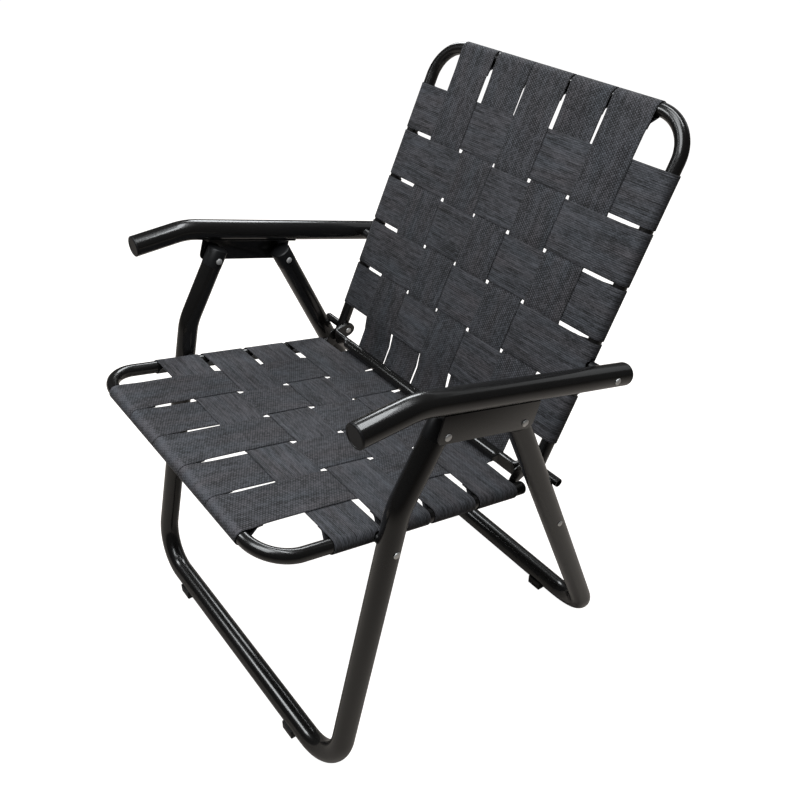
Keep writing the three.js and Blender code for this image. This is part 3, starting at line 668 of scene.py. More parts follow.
def crook_bar(sizes):
    """A round bar whose ends are pressed flat, bent back and rounded off round the hinge."""
    radius = sizes.frame_tube / 2
    bend = sizes.bar_bend
    hinge = (HINGE - BAR).length
    out = tongue_middle(sizes)
    clear_selection()
    bpy.ops.mesh.primitive_circle_add(
        vertices=slim_sides(sizes), radius=radius, fill_type="NOTHING", rotation=(0, math.pi / 2, 0))
    obj = bpy.context.object
    apply_place()
    edit_all()
    extrude((sizes.bar_round, 0, 0))

    # The shoulder, from round to flat
    across, tall = 1.0, 1.0
    steps = 6
    run = sizes.bar_shoulder / steps
    for k in range(1, steps + 1):
        ease = eased(k / steps)
        thick = 1 + (sizes.bar_flat * 2 / sizes.frame_tube - 1) * ease
        wide = 1 + (sizes.bar_tongue / sizes.frame_tube - 1) * ease
        extrude((run, 0, 0))
        bpy.ops.transform.resize(value=(1, thick / across, wide / tall), center_override=(0, 0, 0))
        across, tall = thick, wide
        press(obj, sizes.bar_round + run * k, radius + (sizes.bar_flat / 2 - radius) * ease)

    # The flat end, bent back to the hinge and rounded off past it
    extrude((out - bend - sizes.bar_round - sizes.bar_shoulder, 0, 0))
    swing(math.radians(90), Vector((out - bend, bend, 0)), Vector((0, 0, 1)), 10)
    extrude((0, hinge - bend, 0))
    half = sizes.bar_tongue / 2
    here, level = 0.0, half
    for share in (0.3, 0.55, 0.75, 0.88, 0.96, 0.995):
        extrude((0, half * share - here, 0))
        there = half * math.sqrt(1 - share * share)
        bpy.ops.transform.resize(value=(1, 1, there / level), center_override=(0, 0, 0))
        here, level = half * share, there
    bpy.ops.mesh.edge_face_add()
    bpy.ops.object.mode_set(mode="OBJECT")
    apply_modifier(obj, "MIRROR", use_axis=(True, False, False), merge_threshold=1e-5)
    face_outwards()
    way = (HINGE - BAR).normalized()
    obj.data.transform(Matrix.Translation(BAR) @ Matrix.Rotation(math.atan2(way.z, way.y), 4, "X"))
    return obj


def press(obj, level, half):
    """Presses the ring at one place along X between two flat dies."""
    for side in (1, -1):
        pick(obj, lambda co: abs(co.x - level) < NEAR and co.y * side > half)
        bpy.ops.transform.resize(value=(1, 0, 1), center_override=(0, side * half, 0))
    pick(obj, lambda co: abs(co.x - level) < NEAR)


# Arms, caps and feet

# Rings of the arm's front cap: share of the tube's radius, and distance along the nose in metres
NOSE_CAP = ((0.7, SEATED), (1, SEATED), (1, 0.0016), (0.985, 0.0022), (0.94, 0.0027), (0.86, 0.0030),
            (0.80, 0.0029), (0.78, 0.0024), (0.05, 0.0022))


def arm_lines(sizes):
    """The arm's axis: nose, bend and tail, with the nose's direction."""
    bend = ARM_BACK - ARM_REAR * sizes.arm_bend_run
    nose_way = Matrix.Rotation(sizes.arm_bend, 3, X_WAY) @ -ARM_REAR
    return bend + nose_way * sizes.arm_nose, bend, ARM_BACK + ARM_REAR * sizes.arm_tail, nose_way


class CHAIR_OT_arms(Operator):
    """Arm tubes with their front caps and rear plugs"""

    bl_idname = "chair.arms"
    bl_label = "Arms"

    def execute(self, context):
        sizes = context.scene.chair_sizes
        radius = sizes.leg_tube / 2
        nose, bend, tail, nose_way = arm_lines(sizes)
        wide = reach("arm_tube_left") - radius
        mouth = 0.004
        nose_rings = [(radius * share, along) for share, along in NOSE_CAP]
        plug_rings = [(radius * 0.7, SEATED), (radius, SEATED), (radius, 0.0012),
                      *dome(radius, 0.0061, 0.0013, 1, 8)]
        for word, side in SIDES:
            out = X_WAY * (side * wide)
            corners = [(nose + out, 0), (bend + out, sizes.arm_bend_radius), (tail + out, 0)]
            obj = bent_tube(corners, radius, sizes.tube_sides, sizes.tube_wall, mouth)
            settle(obj, f"arm_{word}", "arms", "satin_black_paint", [f"arm_tube_{word}"])
            cap = turned(nose_rings, nose + out, nose_way, sizes.tube_sides)
            settle(cap, f"arm_nose_cap_{word}", "arms", "moulded_black", [f"arm_front_cap_{word}"])
            plug = turned(plug_rings, tail + out, ARM_REAR, sizes.tube_sides)
            settle(plug, f"arm_tail_plug_{word}", "arms", "moulded_black", [f"arm_rear_plug_{word}"])
        return {"FINISHED"}


class CHAIR_OT_leg_ends(Operator):
    """Caps on the leg tops and rail ends, and the feet under the floor bars"""

    bl_idname = "chair.leg_ends"
    bl_label = "Caps and Feet"

    def execute(self, context):
        sizes = context.scene.chair_sizes
        legs = leg_lines(sizes)
        leg, rail = sizes.leg_tube / 2, sizes.frame_tube / 2
        rear, _, _ = seat_ways(sizes)
        rail_end = SEAT_PIVOT + rear * sizes.seat_rear_run
        for node, body, carrier, place, way, radius, height, skirt in (
            ("front_leg_cap", "front_legs", "front_leg_frame", legs["front"][0][0], legs["front_way"],
             leg, 0.005, sizes.cap_skirt),
            ("rear_leg_cap", "rear_legs", "rear_leg_frame", legs["rear"][0][0], legs["rear_way"],
             leg, 0.005, sizes.cap_skirt),
            ("seat_rail_cap", "seat", "seat_frame", rail_end, rear, rail, 0.004, 0),
        ):
            rings = cap_rings(radius, height, skirt)
            for word, side in SIDES:
                out = X_WAY * (side * (reach(carrier) - radius))
                cap = turned(rings, place + out, way, sizes.tube_sides)
                settle(cap, f"{node}_dome_{word}", body, "moulded_black", [f"{node}_{word}"])
        for end in ("front", "rear"):
            for word, _ in SIDES:
                node = f"{end}_foot_{word}"
                pad = foot_pad(node, f"{end}_leg_frame", leg)
                settle(pad, f"{end}_foot_pad_{word}", f"{end}_legs", "moulded_black", [node], 50)
        return {"FINISHED"}


def cap_rings(radius, height, skirt):
    """Rings of a domed cap, with a thin skirt down over its tube where it has one."""
    rim = height * 0.3
    inner, skin = radius, radius
    hem = []
    if skirt:
        air, wall, lip = 0.00003, 0.00023, 0.0002
        inner, skin = radius + air, radius + air + wall
        hem = [(inner, -skirt), (skin, lip - skirt)]
    return [(radius * 0.7, SEATED), (inner, SEATED), *hem, (skin, rim),
            *dome(skin, height - rim, rim, 1, 7)[1:]]


def foot_pad(node, carrier, tube):
    """A block tapered to its sole, its edges rounded, hollowed to sit on the floor bar."""
    low, high = (Vector(corner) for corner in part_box(node))
    centre = (low + high) / 2
    taper = (0.96, 0.95, 1)
    round_edge = 0.0016
    past_ends = 0.02
    clear_selection()
    bpy.ops.mesh.primitive_cube_add(size=1, location=centre)
    obj = bpy.context.object
    obj.scale = high - low
    apply_place()
    bpy.ops.object.mode_set(mode="EDIT")
    pick(obj, lambda co: co.z < centre.z)
    bpy.ops.transform.resize(value=taper, center_override=(centre.x, centre.y, low.z))
    bpy.ops.mesh.select_all(action="SELECT")
    bpy.ops.mesh.bevel(offset=round_edge, segments=3, affect="EDGES")
    bpy.ops.object.mode_set(mode="OBJECT")
    face_outwards()
    axis = Vector((centre.x, centre.y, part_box(carrier)[0][2] + tube))
    hollow(obj, axis, tube + FITTED, high.x - low.x + past_ends)
    return obj


def hollow(obj, centre, radius, depth):
    """Cuts a round bore along X through a piece."""
    clear_selection()
    bpy.ops.mesh.primitive_cylinder_add(
        vertices=64, radius=radius, depth=depth, location=centre, rotation=(0, math.pi / 2, 0))
    tool = bpy.context.object
    apply_place()
    apply_modifier(obj, "BOOLEAN", operation="DIFFERENCE", object=tool, solver="EXACT")
    bpy.data.objects.remove(tool, do_unlink=True)


# Brackets and plates

class CHAIR_OT_brackets(Operator):
    """Arm brackets and hinge plates, cut from sheet with rounded corners"""

    bl_idname = "chair.brackets"
    bl_label = "Brackets and Plates"

    def execute(self, context):
        sizes = context.scene.chair_sizes
        for word, side in SIDES:
            bracket = arm_bracket(sizes, side)
            settle(bracket, f"bracket_{word}", "arms", "satin_black_paint", [f"arm_bracket_{word}"], 45)
            plate = crook_plate(sizes, word)
            settle(plate, f"crook_plate_{word}", "seat", "satin_black_paint", [f"hinge_plate_{word}"], 45)
        return {"FINISHED"}


def arm_bracket(sizes, side):
    """A flat plate outside the leg tops and a saddle bent round the underside of the arm."""
    thick = sizes.bracket_sheet
    arm_x = reach("arm_tube_left") - sizes.leg_tube / 2
    plate_out = reach("arm_bracket_left")
    margin, lobe = 0.016, 0.009
    depth = (ARM_BACK - ARM_FRONT).dot(ARM_UP)
    bore = sizes.leg_tube / 2 + FITTED
    top = -math.sqrt(bore ** 2 - (plate_out - thick - arm_x) ** 2)
    bottom = -depth - lobe
    run = (REAR_PIVOT - ARM_FRONT).length + 2 * margin
    origin = ARM_FRONT + ARM_UP * depth - ARM_REAR * margin
    inner = plate_out - thick if side > 0 else -plate_out
    centre = origin + ARM_REAR * (run / 2) + ARM_UP * ((top + bottom) / 2) + X_WAY * inner
    clear_selection()
    bpy.ops.mesh.primitive_plane_add(size=1)
    obj = bpy.context.object
    obj.matrix_world = basis(ARM_REAR, ARM_UP, centre) @ Matrix.Diagonal((run, top - bottom, 1, 1))
    apply_place()
    bpy.ops.object.mode_set(mode="EDIT")
    pick(obj, lambda co: (co - centre).dot(ARM_UP) < 0)
    bpy.ops.mesh.bevel(offset=lobe, segments=10, affect="VERTICES")
    bpy.ops.mesh.select_all(action="SELECT")
    extrude(X_WAY * thick)
    bpy.ops.object.mode_set(mode="OBJECT")
    face_outwards()

    outer = math.asin((plate_out - arm_x - SOFT_EDGE) / (bore + thick))
    saddle = arm_saddle(origin + X_WAY * (side * arm_x), bore, run, thick, side, outer)
    clear_selection()
    saddle.select_set(True)
    obj.select_set(True)
    bpy.context.view_layer.objects.active = obj
    bpy.ops.object.join()
    soften(obj, SOFT_EDGE, 50)
    return obj


def arm_saddle(axis_at, bore, run, thick, side, outer):
    """A sheet bent round the arm's underside, from the plate past the middle."""
    inner = -math.radians(36)
    clear_selection()
    bpy.ops.mesh.primitive_circle_add(
        vertices=96, radius=bore, fill_type="NOTHING", location=axis_at, rotation=facing(ARM_REAR))
    saddle = bpy.context.object
    apply_place()
    edit_all()
    extrude(ARM_REAR * run)
    for angle, keep in ((outer, -1), (inner, 1)):
        way = X_WAY * (side * math.sin(angle)) - ARM_UP * math.cos(angle)
        across = X_WAY * (side * math.cos(angle)) + ARM_UP * math.sin(angle)
        bpy.ops.mesh.select_all(action="SELECT")
        bpy.ops.mesh.bisect(
            plane_co=tuple(axis_at + way * bore), plane_no=tuple(across * keep),
            clear_inner=True, clear_outer=False)
    pick(saddle, lambda co: (co - axis_at).dot(ARM_UP) > 0)
    bpy.ops.mesh.delete(type="VERT")
    bpy.ops.object.mode_set(mode="OBJECT")
    face_away(saddle, axis_at, ARM_REAR)
    apply_modifier(saddle, "SOLIDIFY", thickness=thick, offset=1.0)
    return saddle


def face_away(obj, axis_at, axis):
    """Turns an open shell's faces away from a line."""
    mesh = bmesh.new()
    mesh.from_mesh(obj.data)
    for face in mesh.faces:
        arm = face.calc_center_median() - axis_at
        if face.normal.dot(arm - axis * arm.dot(axis)) < 0:
            face.normal_flip()
    mesh.to_mesh(obj.data)
    mesh.free()


def crook_plate(sizes, word):
    """A plate stretched round the hinge, the cross bar's end and the end of the rail."""
    low, high = span(f"hinge_plate_{word}")
    rear, _, _ = seat_ways(sizes)
    inset = 0.010
    rail = SEAT_PIVOT + rear * (sizes.seat_rear_run - inset)
    clear_selection()
    for place, radius in ((HINGE, 0.0115), (BAR, 0.0105), (rail, 0.0075)):
        bpy.ops.mesh.primitive_cylinder_add(
            vertices=48, radius=radius, depth=high - low, location=place + X_WAY * ((low + high) / 2),
            rotation=(0, math.pi / 2, 0))
        if bpy.context.object.mode == "OBJECT":
            obj = bpy.context.object
            apply_place()
            bpy.ops.object.mode_set(mode="EDIT")
    bpy.ops.mesh.select_all(action="SELECT")
    bpy.ops.mesh.convex_hull()
    bpy.ops.mesh.select_all(action="SELECT")
    bpy.ops.mesh.dissolve_limited(angle_limit=math.radians(1))
    bpy.ops.object.mode_set(mode="OBJECT")
    face_outwards()
    soften(obj, SOFT_EDGE, 50)
    return obj


# Pivots

# Height of a rivet's head and radius of the bore round its shank, in metres
RIVET_HEIGHT = 0.002
PIN_BORE = 0.0034


class CHAIR_OT_pivots(Operator):
    """Rivets, spacers and the stop sleeves on the pivot lines"""

    bl_idname = "chair.pivots"
    bl_label = "Pivots"

    def execute(self, context):
        sizes = context.scene.chair_sizes
        for node, body, place in (
            ("front_leg_rivet", "arms", ARM_FRONT),
            ("rear_leg_rivet", "arms", REAR_PIVOT),
            ("seat_pivot_rivet", "front_legs", SEAT_PIVOT),
            ("arm_pivot_rivet", "arms", ARM_BACK),
        ):
            low, high = span(f"{node}_left")
            settle_pair(rivet(place, low, high), place, f"{node}_head", body, "bare_rivet", node)
        low = tongue_middle(sizes) - sizes.bar_flat / 2 - RIVET_HEIGHT
        pin = rivet(HINGE, low, reach("hinge_rivet_left"), False)
        settle_pair(pin, HINGE, "hinge_rivet_head", "seat", "bare_rivet", "hinge_rivet")
        for node, body, place in (
            ("seat_pivot_spacer", "front_legs", SEAT_PIVOT),
            ("arm_pivot_spacer", "arms", ARM_BACK),
        ):
            bush = bushing(place, *span(f"{node}_left"))
            settle_pair(bush, place, f"{node}_bush", body, "moulded_black", node)
        sleeve = stop_tube(*span("stop_sleeve_left"))
        settle_pair(sleeve, HINGE, "stop_tube", "seat", "satin_black_paint", "stop_sleeve")
        place = REAR_PIVOT - leg_lines(sizes)["rear_way"] * sizes.side_rivet
        settle_pair(side_rivet(place), place, "leg_side_rivet", "rear_legs", "bare_rivet")
        return {"FINISHED"}


def rivet(place, low, high, outer_head=True):
    """A shank with a domed head inside, and one outside where it shows."""
    head, shank, rim = 0.005, 0.0031, 0.0004
    swell, edge = head * 1.01, 0.0001
    crown = dome(head, RIVET_HEIGHT - rim, low + RIVET_HEIGHT - rim, -1, 5)
    face = low + RIVET_HEIGHT
    profile = [*reversed(crown), (swell, face - edge), (head, face), (shank, face)]
    if outer_head:
        face = high - RIVET_HEIGHT
        profile += [(shank, face), (head, face), (swell, face + edge),
                    *dome(head, RIVET_HEIGHT - rim, face + rim, 1, 5)]
    else:
        profile += [(shank, high - rim), (shank * 0.85, high)]
    return turned(profile, place, X_WAY, 28)


def side_rivet(place):
    """The plain low rivet on the outer side of a rear leg."""
    profile = [(0.0030, -0.0006), (0.0044, -0.0002), (0.0045, 0.0002),
               *dome(0.0044, 0.0016, 0.0003, 1, 5)[1:]]
    return turned(profile, place + X_WAY * reach("rear_leg_frame"), X_WAY, 28)


def bushing(place, low, high):
    """A plastic washer with softened rims."""
    radius = 0.0070
    soft = min(0.0006, (high - low) / 5)
    profile = [(PIN_BORE, low), (radius - soft, low), (radius, low + soft), (radius, high - soft),
               (radius - soft, high), (PIN_BORE, high)]
    return turned(profile, place, X_WAY, 36)


def stop_tube(low, high):
    """A short tube on the hinge line, open at its outer end."""
    outer, inner, bottom = 0.00635, 0.00495, high - 0.0140
    profile = [(PIN_BORE, low), (outer - 0.0004, low), (outer, low + 0.0004), (outer, high - 0.0005),
               (outer - 0.0003, high), (inner + 0.0003, high), (inner, high - 0.0004), (inner, bottom),
               (PIN_BORE, bottom)]
    return turned(profile, HINGE, X_WAY, 40)


# Webbing

class Ribbon:
    """A strap grown row by row from a first flap, along runs and round tubes.

    A sewn loop turns 220 degrees round its tube, runs in under the strap and ends in a short tail.
    Between crossings a strap rises or falls in a wave that starts a little inside the crossed strap.
    """

    LOOP_TURN = 220
    LOOP_RUN = 1.9
    TAIL = 0.009
    TAIL_BEND = 0.003
    TAIL_DROP = 0.0006
    WAVE_INSET = 0.0040
    WAVE_STEPS = 8
    SOFT_SELVEDGE = 0.00042

    def __init__(self, sizes, width, crossed, origin, along, above):
        self.sizes = sizes
        self.width = width
        self.crossed = crossed
        self.origin = origin
        self.along = along
        self.above = above
        self.across = along.cross(above)
        self.wrap = sizes.frame_tube / 2 + sizes.web_gap + sizes.web_thickness / 2
        self.turn_in = self.LOOP_RUN * self.wrap
        self.lower = self.wrap - sizes.web_thickness - sizes.web_gap

    def at(self, run, rise):
        return self.origin + self.along * run + self.above * rise

    def begin(self, first, second):
        """The first flap, as a strip of faces from one point of the side view to the next."""
        start, stop = self.at(*first), self.at(*second)
        clear_selection()
        bpy.ops.mesh.primitive_grid_add(x_subdivisions=self.sizes.web_columns, y_subdivisions=1, size=1)
        self.obj = bpy.context.object
        way = (stop - start).normalized()
        shape = Matrix.Diagonal((self.width, (stop - start).length, 1, 1))
        self.obj.matrix_world = basis(self.across, way, (start + stop) / 2) @ shape
        apply_place()
        bpy.ops.object.mode_set(mode="EDIT")
        pick(self.obj, lambda co: (co - stop).dot(way) > -NEAR)
        self.here = stop

    def run(self, *points):
        for point in points:
            there = self.at(*point)
            extrude(there - self.here)
            self.here = there

    def wrap_round(self, centre, degrees, step=9):
        """Round a tube, by the right-hand rule from along to above."""
        hub = self.at(*centre)
        steps = max(2, round(abs(degrees) / step))
        swing(math.radians(degrees), hub, self.across, steps)
        turn = Matrix.Rotation(math.radians(degrees), 3, self.across)
        self.here = hub + turn @ (self.here - hub)

    def lip(self, centre, degrees):
        """A point of the loop where it leaves its tube."""
        angle = math.radians(degrees)
        return centre + self.wrap * math.cos(angle), self.wrap * math.sin(angle)

    def loop_in(self, centre):
        """A sewn loop that starts a strap: tail under the run, then round the tube and up to the run."""
        fold = centre + self.turn_in
        self.begin((fold + self.TAIL, self.lower), (fold + self.TAIL_BEND, self.lower))
        start = self.lip(centre, 90 + self.LOOP_TURN)
        corner = (fold, self.lower - self.TAIL_DROP)
        self.run(corner, halfway(corner, start), start)
        self.wrap_round((centre, 0), -self.LOOP_TURN)

    def loop_out(self, centre):
        """A sewn loop that ends a strap."""
        self.wrap_round((centre, 0), -self.LOOP_TURN)
        fold = centre - self.turn_in
        end = self.lip(centre, 90 - self.LOOP_TURN)
        corner = (fold, self.lower - self.TAIL_DROP)
        self.run(halfway(corner, end), corner, (fold - self.TAIL_BEND, self.lower),
                 (fold - self.TAIL, self.lower))

    def woven(self, crossings, start, stop, straight=False):
        """Over and under the straps that it crosses, with a soft wave between them."""
        flat = self.crossed / 2 - self.WAVE_INSET
        weave = self.sizes.weave
        heights = [(at, self.wrap + (weave if over else -weave)) for at, over in crossings]
        marks = [start, *heights, stop]
        for i, ((a, low), (b, high)) in enumerate(zip(marks, marks[1:])):
            first = a + (flat if i > 0 else 0)
            last = b - (flat if i < len(marks) - 2 else 0)
            if i > 0:
                self.run((first, low))
            for k in range(1, self.WAVE_STEPS):
                share = k / self.WAVE_STEPS
                rise = share if straight and i == 0 else eased(share)
                self.run((first + (last - first) * share, low + (high - low) * rise))
            self.run((last, high))

    def done(self):
        """Lays the strap's own map on it, then gives it its thickness and soft edges."""
        bpy.ops.object.mode_set(mode="OBJECT")
        mesh = self.obj.data
        count = self.sizes.web_columns + 1
        rows = len(mesh.vertices) // count
        if rows * count != len(mesh.vertices):
            raise RuntimeError("a strap's rows are uneven")
        lengths = [0.0]
        for row in range(1, rows):
            step = mesh.vertices[row * count].co - mesh.vertices[(row - 1) * count].co
            lengths.append(lengths[-1] + step.length)
        layer = mesh.uv_layers.active or mesh.uv_layers.new(name="Strap")
        for corner in mesh.loops:
            row, column = divmod(corner.vertex_index, count)
            layer.data[corner.index].uv = (self.width * column / (count - 1), lengths[row])
        self.length = lengths[-1]
        apply_modifier(
            self.obj, "SOLIDIFY", thickness=self.sizes.web_thickness, offset=0.0, use_even_offset=True)
        soften(self.obj, self.SOFT_SELVEDGE, 60)
        face_outwards()
        return self


def halfway(first, second):
    return (first[0] + second[0]) / 2, (first[1] + second[1]) / 2


# How far each lengthwise strap of the back was laid off its even place, at its top and at its foot
HAND_LAID = ((-0.0010, 0.0050), (0.0018, 0.0022), (0.0, 0.0), (0.0009, -0.0006), (0.0010, -0.0016))


def lengthwise_places(sizes):
    return [(2 - i) * -sizes.long_pitch for i in range(5)]


def leaning(sizes, place, top, foot):
    """Sets a strap of the back at its place, leaning a little sideways."""
    slope = (top - foot) / sizes.back_rise
    lean = Matrix.Identity(4)
    lean[0][1] = slope * BACK_UP.y
    lean[0][2] = slope * BACK_UP.z
    lean[0][3] = place + foot - slope * HINGE.dot(BACK_UP)
    return lean


def is_over(strap, cross):
    """Straps are counted from the sitter's right, cross straps from the free edge of the panel."""
    return (strap + cross) % 2 == 0


def paint_roll_highlight(obj, centre, forward, up, reach_out):
    """Marks a painted highlight on the crest of a strap where it rolls over a tube, as an attribute of its
    points.
    """
    crest, half_width, fade = 48, 42, 0.7
    marks = obj.data.attributes.new("painted_highlight", "FLOAT", "POINT")
    for vert, mark in zip(obj.data.vertices, marks.data):
        ahead, above = (vert.co - centre).dot(forward), (vert.co - centre).dot(up)
        if math.hypot(ahead, above) < reach_out:
            angle = math.degrees(math.atan2(above, ahead))
            mark.value = max(0.0, 1 - abs(angle - crest) / half_width) ** fade


def spread_roll(obj, centre, extra):
    """Spreads a lengthwise strap a little where it rolls over a tube, so that neighbours all but meet."""
    near, far = 0.012, 0.038
    for vert in obj.data.vertices:
        away = math.hypot(vert.co.y - centre.y, vert.co.z - centre.z)
        share = min(1.0, max(0.0, (far - away) / (far - near)))
        vert.co.x *= 1 + extra * eased(share)


def cross_models(sizes, origin, above, rail):
    """The two kinds of cross strap of a panel, one under the first lengthwise strap and one over it."""
    models = []
    for j in range(2):
        strap = Ribbon(sizes, sizes.cross_width, sizes.long_width, origin, X_WAY, above)
        strap.loop_in(-rail)
        strap.woven([(x, not is_over(i, j)) for i, x in enumerate(lengthwise_places(sizes))],
                    (-rail, strap.wrap), (rail, strap.wrap))
        strap.loop_out(rail)
        models.append(strap.done())
    return models


def strap_copies(models, moves, name, nodes, body, look):
    """Sets copies of two strap models in their places.

    A copy's map is moved along the strap, so that no two straps show the same yarn.
    """
    step, per_letter = 0.73, 0.37
    for i, (node, move) in enumerate(zip(nodes, moves)):
        model = models[i % 2]
        obj = copy_of(model.obj, move)
        for corner in obj.data.uv_layers.active.data:
            corner.uv.y += step * i + per_letter * len(name)
        settle(obj, f"{name}_{i + 1}", body, look, [node], 50)
    for model in models:
        bpy.data.objects.remove(model.obj, do_unlink=True)


def pierce(name, place, rail):
    """Opens a cross strap round the pivot that goes through its loops."""
    radius, depth = 0.0081, 0.034
    for _, side in SIDES:
        hollow(bpy.data.objects[name], place + X_WAY * (side * rail), radius, depth)


class CHAIR_OT_seat_webbing(Operator):
    """Woven straps of the seat"""

    bl_idname = "chair.seat_webbing"
    bl_label = "Seat Webbing"

    def execute(self, context):
        sizes = context.scene.chair_sizes
        rear, up, front = seat_ways(sizes)
        rail = reach("seat_frame") - sizes.frame_tube / 2
        bar = ((BAR - front).dot(rear), (BAR - front).dot(up))
        crosses = [(middle(f"seat_strap_cross_{j + 1}") - front).dot(rear) for j in range(4)]

        models = []
        for i in range(2):
            strap = Ribbon(sizes, sizes.long_width, sizes.cross_width, front, rear, up)
            strap.loop_in(0)
            strap.woven([(at, is_over(i, j)) for j, at in enumerate(crosses)],
                        (0, strap.wrap), (bar[0], bar[1] - strap.wrap))
            strap.wrap_round(bar, 100)
            models.append(strap.done())
            # Painted highlight on the crest where the strap rolls over the front tube
            paint_roll_highlight(strap.obj, front, -rear, up, strap.wrap + 0.002)
            spread_roll(strap.obj, front, 0.060)
        moves = [Matrix.Translation(X_WAY * x) for x in lengthwise_places(sizes)]
        nodes = [f"seat_strap_long_{5 - i}" for i in range(5)]
        strap_copies(models, moves, "seat_web_long", nodes, "seat", "webbing_lengthwise")

        moves = [Matrix.Translation(rear * at) for at in crosses]
        nodes = [f"seat_strap_cross_{j + 1}" for j in range(4)]
        strap_copies(cross_models(sizes, front, up, rail), moves, "seat_web_cross", nodes, "seat",
                     "webbing_crosswise")
        pierce("seat_web_cross_1", SEAT_PIVOT, rail)
        return {"FINISHED"}


class CHAIR_OT_back_webbing(Operator):
    """Woven straps of the back"""

    bl_idname = "chair.back_webbing"
    bl_label = "Back Webbing"

    def execute(self, context):
        sizes = context.scene.chair_sizes
        rail = reach("back_frame") - sizes.frame_tube / 2
        crosses = [(middle(f"back_strap_cross_{5 - j}") - HINGE).dot(BACK_UP) for j in range(5)]
        top = HINGE + BACK_UP * sizes.back_rise

        # The lower end hangs behind the weave, from below the hinge up to where it starts to rise
        setback, foot, hem = 0.0041, -0.0155, 0.002
        knee = (0.021, setback + 0.0001)
        models = []
        for i in range(2):
            strap = Ribbon(sizes, sizes.long_width, sizes.cross_width, HINGE, BACK_UP, BACK_FRONT)
            strap.begin((foot, setback), (hem, setback))
            strap.run((knee[0] - hem, setback), knee)
            strap.woven([(at, is_over(i, 4 - j)) for j, at in enumerate(crosses)],
                        knee, (sizes.back_rise, strap.wrap), straight=True)
            strap.loop_out(sizes.back_rise)
            models.append(strap.done())
            spread_roll(strap.obj, top, 0.034)
        moves = [leaning(sizes, x, *laid) for x, laid in zip(lengthwise_places(sizes), HAND_LAID)]
        nodes = [f"back_strap_long_{5 - i}" for i in range(5)]
        strap_copies(models, moves, "back_web_long", nodes, "back", "webbing_lengthwise")

        moves = [Matrix.Translation(BACK_UP * at) for at in reversed(crosses)]
        nodes = [f"back_strap_cross_{j + 1}" for j in range(5)]
        strap_copies(cross_models(sizes, HINGE, BACK_FRONT, rail), moves, "back_web_cross", nodes, "back",
                     "webbing_crosswise")
        pierce("back_web_cross_4", ARM_BACK, rail)
        return {"FINISHED"}


# Stage

# Lights: name, direction from the chair, distance, width and height in metres, and power in watts
LIGHTS = (
    ("window_behind", (-0.63, 0.52, 0.575), 1.74, 0.6, 0.45, 7),
    ("window_above", (0.04, 0.31, 0.95), 2.36, 1.8, 0.30, 19),
    ("backdrop", (-0.10, 0.87, 0.45), 3.0, 2.5, 1.0, 3.5),
    ("window_front", (-0.511, -0.530, 0.679), 1.82, 0.5, 0.5, 9),
    ("soft_overhead", (0.143, -0.429, 0.893), 1.40, 0.75, 0.75, 11.5),
    ("soft_top", (0.03, -0.06, 1.0), 1.8, 0.6, 0.6, 6.5),
)
LIGHT_AIM = Vector((0, 0, 0.4))
LIGHT_TINT = (0.95, 0.98, 1.0)
ROOM_LIGHT = 0.06

# The camera's place and turn, and its focal length and centre in pixels of the square picture
CAMERA_PLACE = (0.8641, -0.7001, 1.2237)
CAMERA_FALL = 32.460
CAMERA_TURN = 56.187
PICTURE_SIDE = 800
FOCAL_PIXELS = 901.85
CENTRE_PIXEL = (296.65, 345.56)
SENSOR_WIDTH = 36


class CHAIR_OT_stage(Operator):
    """Pale floor, soft studio light and the camera"""

    bl_idname = "chair.stage"
    bl_label = "Stage"

    def execute(self, context):
        scene = context.scene
        scene.view_settings.view_transform = "Standard"
        studio_floor(scene.chair_colours.floor)
        scene.world = studio_world()
        for light in LIGHTS:
            soft_light(*light)
        scene.camera = photo_camera()
        return {"FINISHED"}


def studio_floor(colour):
    """A wide pale floor that the camera sees as white."""
    clear_selection()
    bpy.ops.mesh.primitive_grid_add(x_subdivisions=4, y_subdivisions=4, size=24, location=(0, 0, -0.0004))
    floor = bpy.context.object
    apply_place()
    floor.name = "studio_floor"
    pale = bpy.data.materials.new("pale_floor")
    pale.use_nodes = True
    shader = pale.node_tree.nodes["Principled BSDF"]
    shader.inputs["Base Color"].default_value = (*colour, 1)
    shader.inputs["Roughness"].default_value = 0.8
    shader.inputs["Emission Color"].default_value = (1, 1, 1, 1)
    path = pale.node_tree.nodes.new("ShaderNodeLightPath")
    pale.node_tree.links.new(path.outputs["Is Camera Ray"], shader.inputs["Emission Strength"])
    floor.data.materials.append(pale)
    return floor


def studio_world():
    """Faint light from all round, white where the camera sees past the floor."""
    world = bpy.data.worlds.new("studio")
    world.use_nodes = True
    tree = world.node_tree
    background = tree.nodes["Background"]
    background.inputs["Color"].default_value = (1, 1, 1, 1)
    path = tree.nodes.new("ShaderNodeLightPath")
    level = sums(tree, "MAXIMUM", path.outputs["Is Camera Ray"], ROOM_LIGHT)
    link(tree, level, background.inputs["Strength"])
    return world


def soft_light(name, way, far, wide, high, power):
    """A wide lamp that looks at the middle of the chair."""
    place = LIGHT_AIM + Vector(way).normalized() * far
    look = (LIGHT_AIM - place).to_track_quat("-Z", "Y").to_euler()
    bpy.ops.object.light_add(type="AREA", location=place, rotation=look)
    lamp = bpy.context.object
    lamp.name = name
    lamp.data.shape = "RECTANGLE"
    lamp.data.size = wide
    lamp.data.size_y = high
    lamp.data.energy = power
    lamp.data.color = LIGHT_TINT


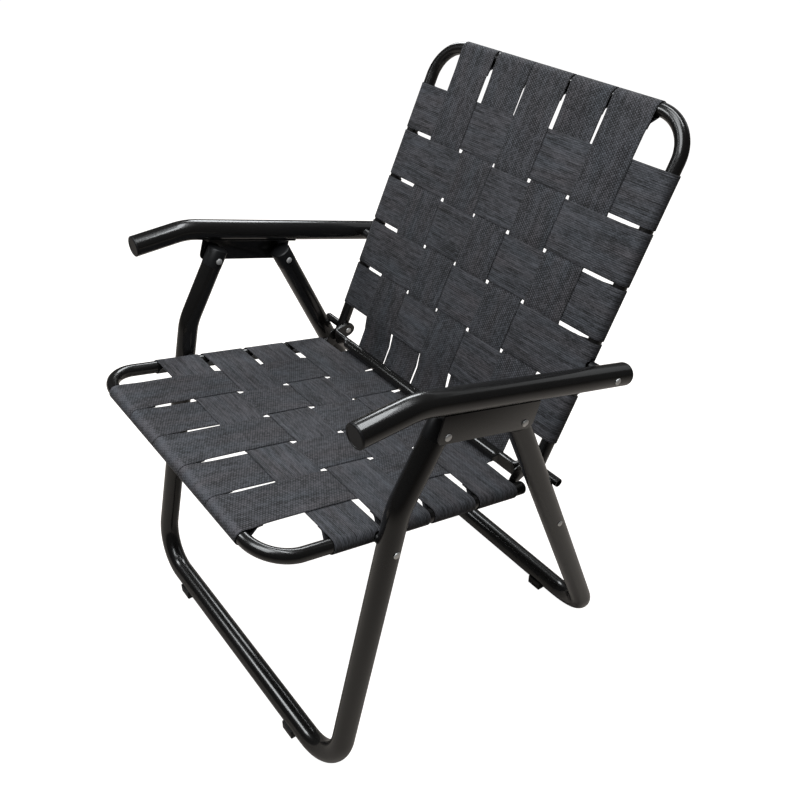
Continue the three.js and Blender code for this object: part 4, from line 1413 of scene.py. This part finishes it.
def photo_camera():
    """The camera at the photograph's place, with the photograph's framing."""
    bpy.ops.object.camera_add(
        location=CAMERA_PLACE, rotation=(math.radians(90 - CAMERA_FALL), 0, math.radians(CAMERA_TURN)))
    camera = bpy.context.object
    camera.name = "view"
    camera.data.sensor_width = SENSOR_WIDTH
    camera.data.lens = FOCAL_PIXELS / PICTURE_SIDE * SENSOR_WIDTH
    camera.data.shift_x = (PICTURE_SIDE / 2 - CENTRE_PIXEL[0]) / PICTURE_SIDE
    camera.data.shift_y = (CENTRE_PIXEL[1] - PICTURE_SIDE / 2) / PICTURE_SIDE
    camera.data.clip_start = 0.01
    return camera


# Registration

PIECES = (
    CHAIR_OT_leg_frames,
    CHAIR_OT_panel_frames,
    CHAIR_OT_arms,
    CHAIR_OT_leg_ends,
    CHAIR_OT_brackets,
    CHAIR_OT_pivots,
    CHAIR_OT_seat_webbing,
    CHAIR_OT_back_webbing,
    CHAIR_OT_stage,
)


class CHAIR_PT_sidebar(Panel):
    """Lists the chair's operators, sizes and colours"""

    bl_idname = "CHAIR_PT_sidebar"
    bl_label = "Lawn Chair"
    bl_space_type = "VIEW_3D"
    bl_region_type = "UI"
    bl_category = "Lawn Chair"

    def draw(self, context):
        for piece in PIECES:
            self.layout.operator(piece.bl_idname)
        for group in (context.scene.chair_sizes, context.scene.chair_colours):
            for key in group.bl_rna.properties.keys():
                if key not in {"rna_type", "name"}:
                    self.layout.prop(group, key)


CLASSES = (ChairSizes, ChairColours, *PIECES, CHAIR_PT_sidebar)


def register():
    for item in CLASSES:
        bpy.utils.register_class(item)
    bpy.types.Scene.chair_sizes = PointerProperty(type=ChairSizes)
    bpy.types.Scene.chair_colours = PointerProperty(type=ChairColours)


def unregister():
    del bpy.types.Scene.chair_colours
    del bpy.types.Scene.chair_sizes
    for item in reversed(CLASSES):
        bpy.utils.unregister_class(item)


def main():
    register()
    bpy.ops.chair.leg_frames()
    bpy.ops.chair.panel_frames()
    bpy.ops.chair.arms()
    bpy.ops.chair.leg_ends()
    bpy.ops.chair.brackets()
    bpy.ops.chair.pivots()
    bpy.ops.chair.seat_webbing()
    bpy.ops.chair.back_webbing()
    bpy.ops.chair.stage()


if __name__ == "__main__":
    main()
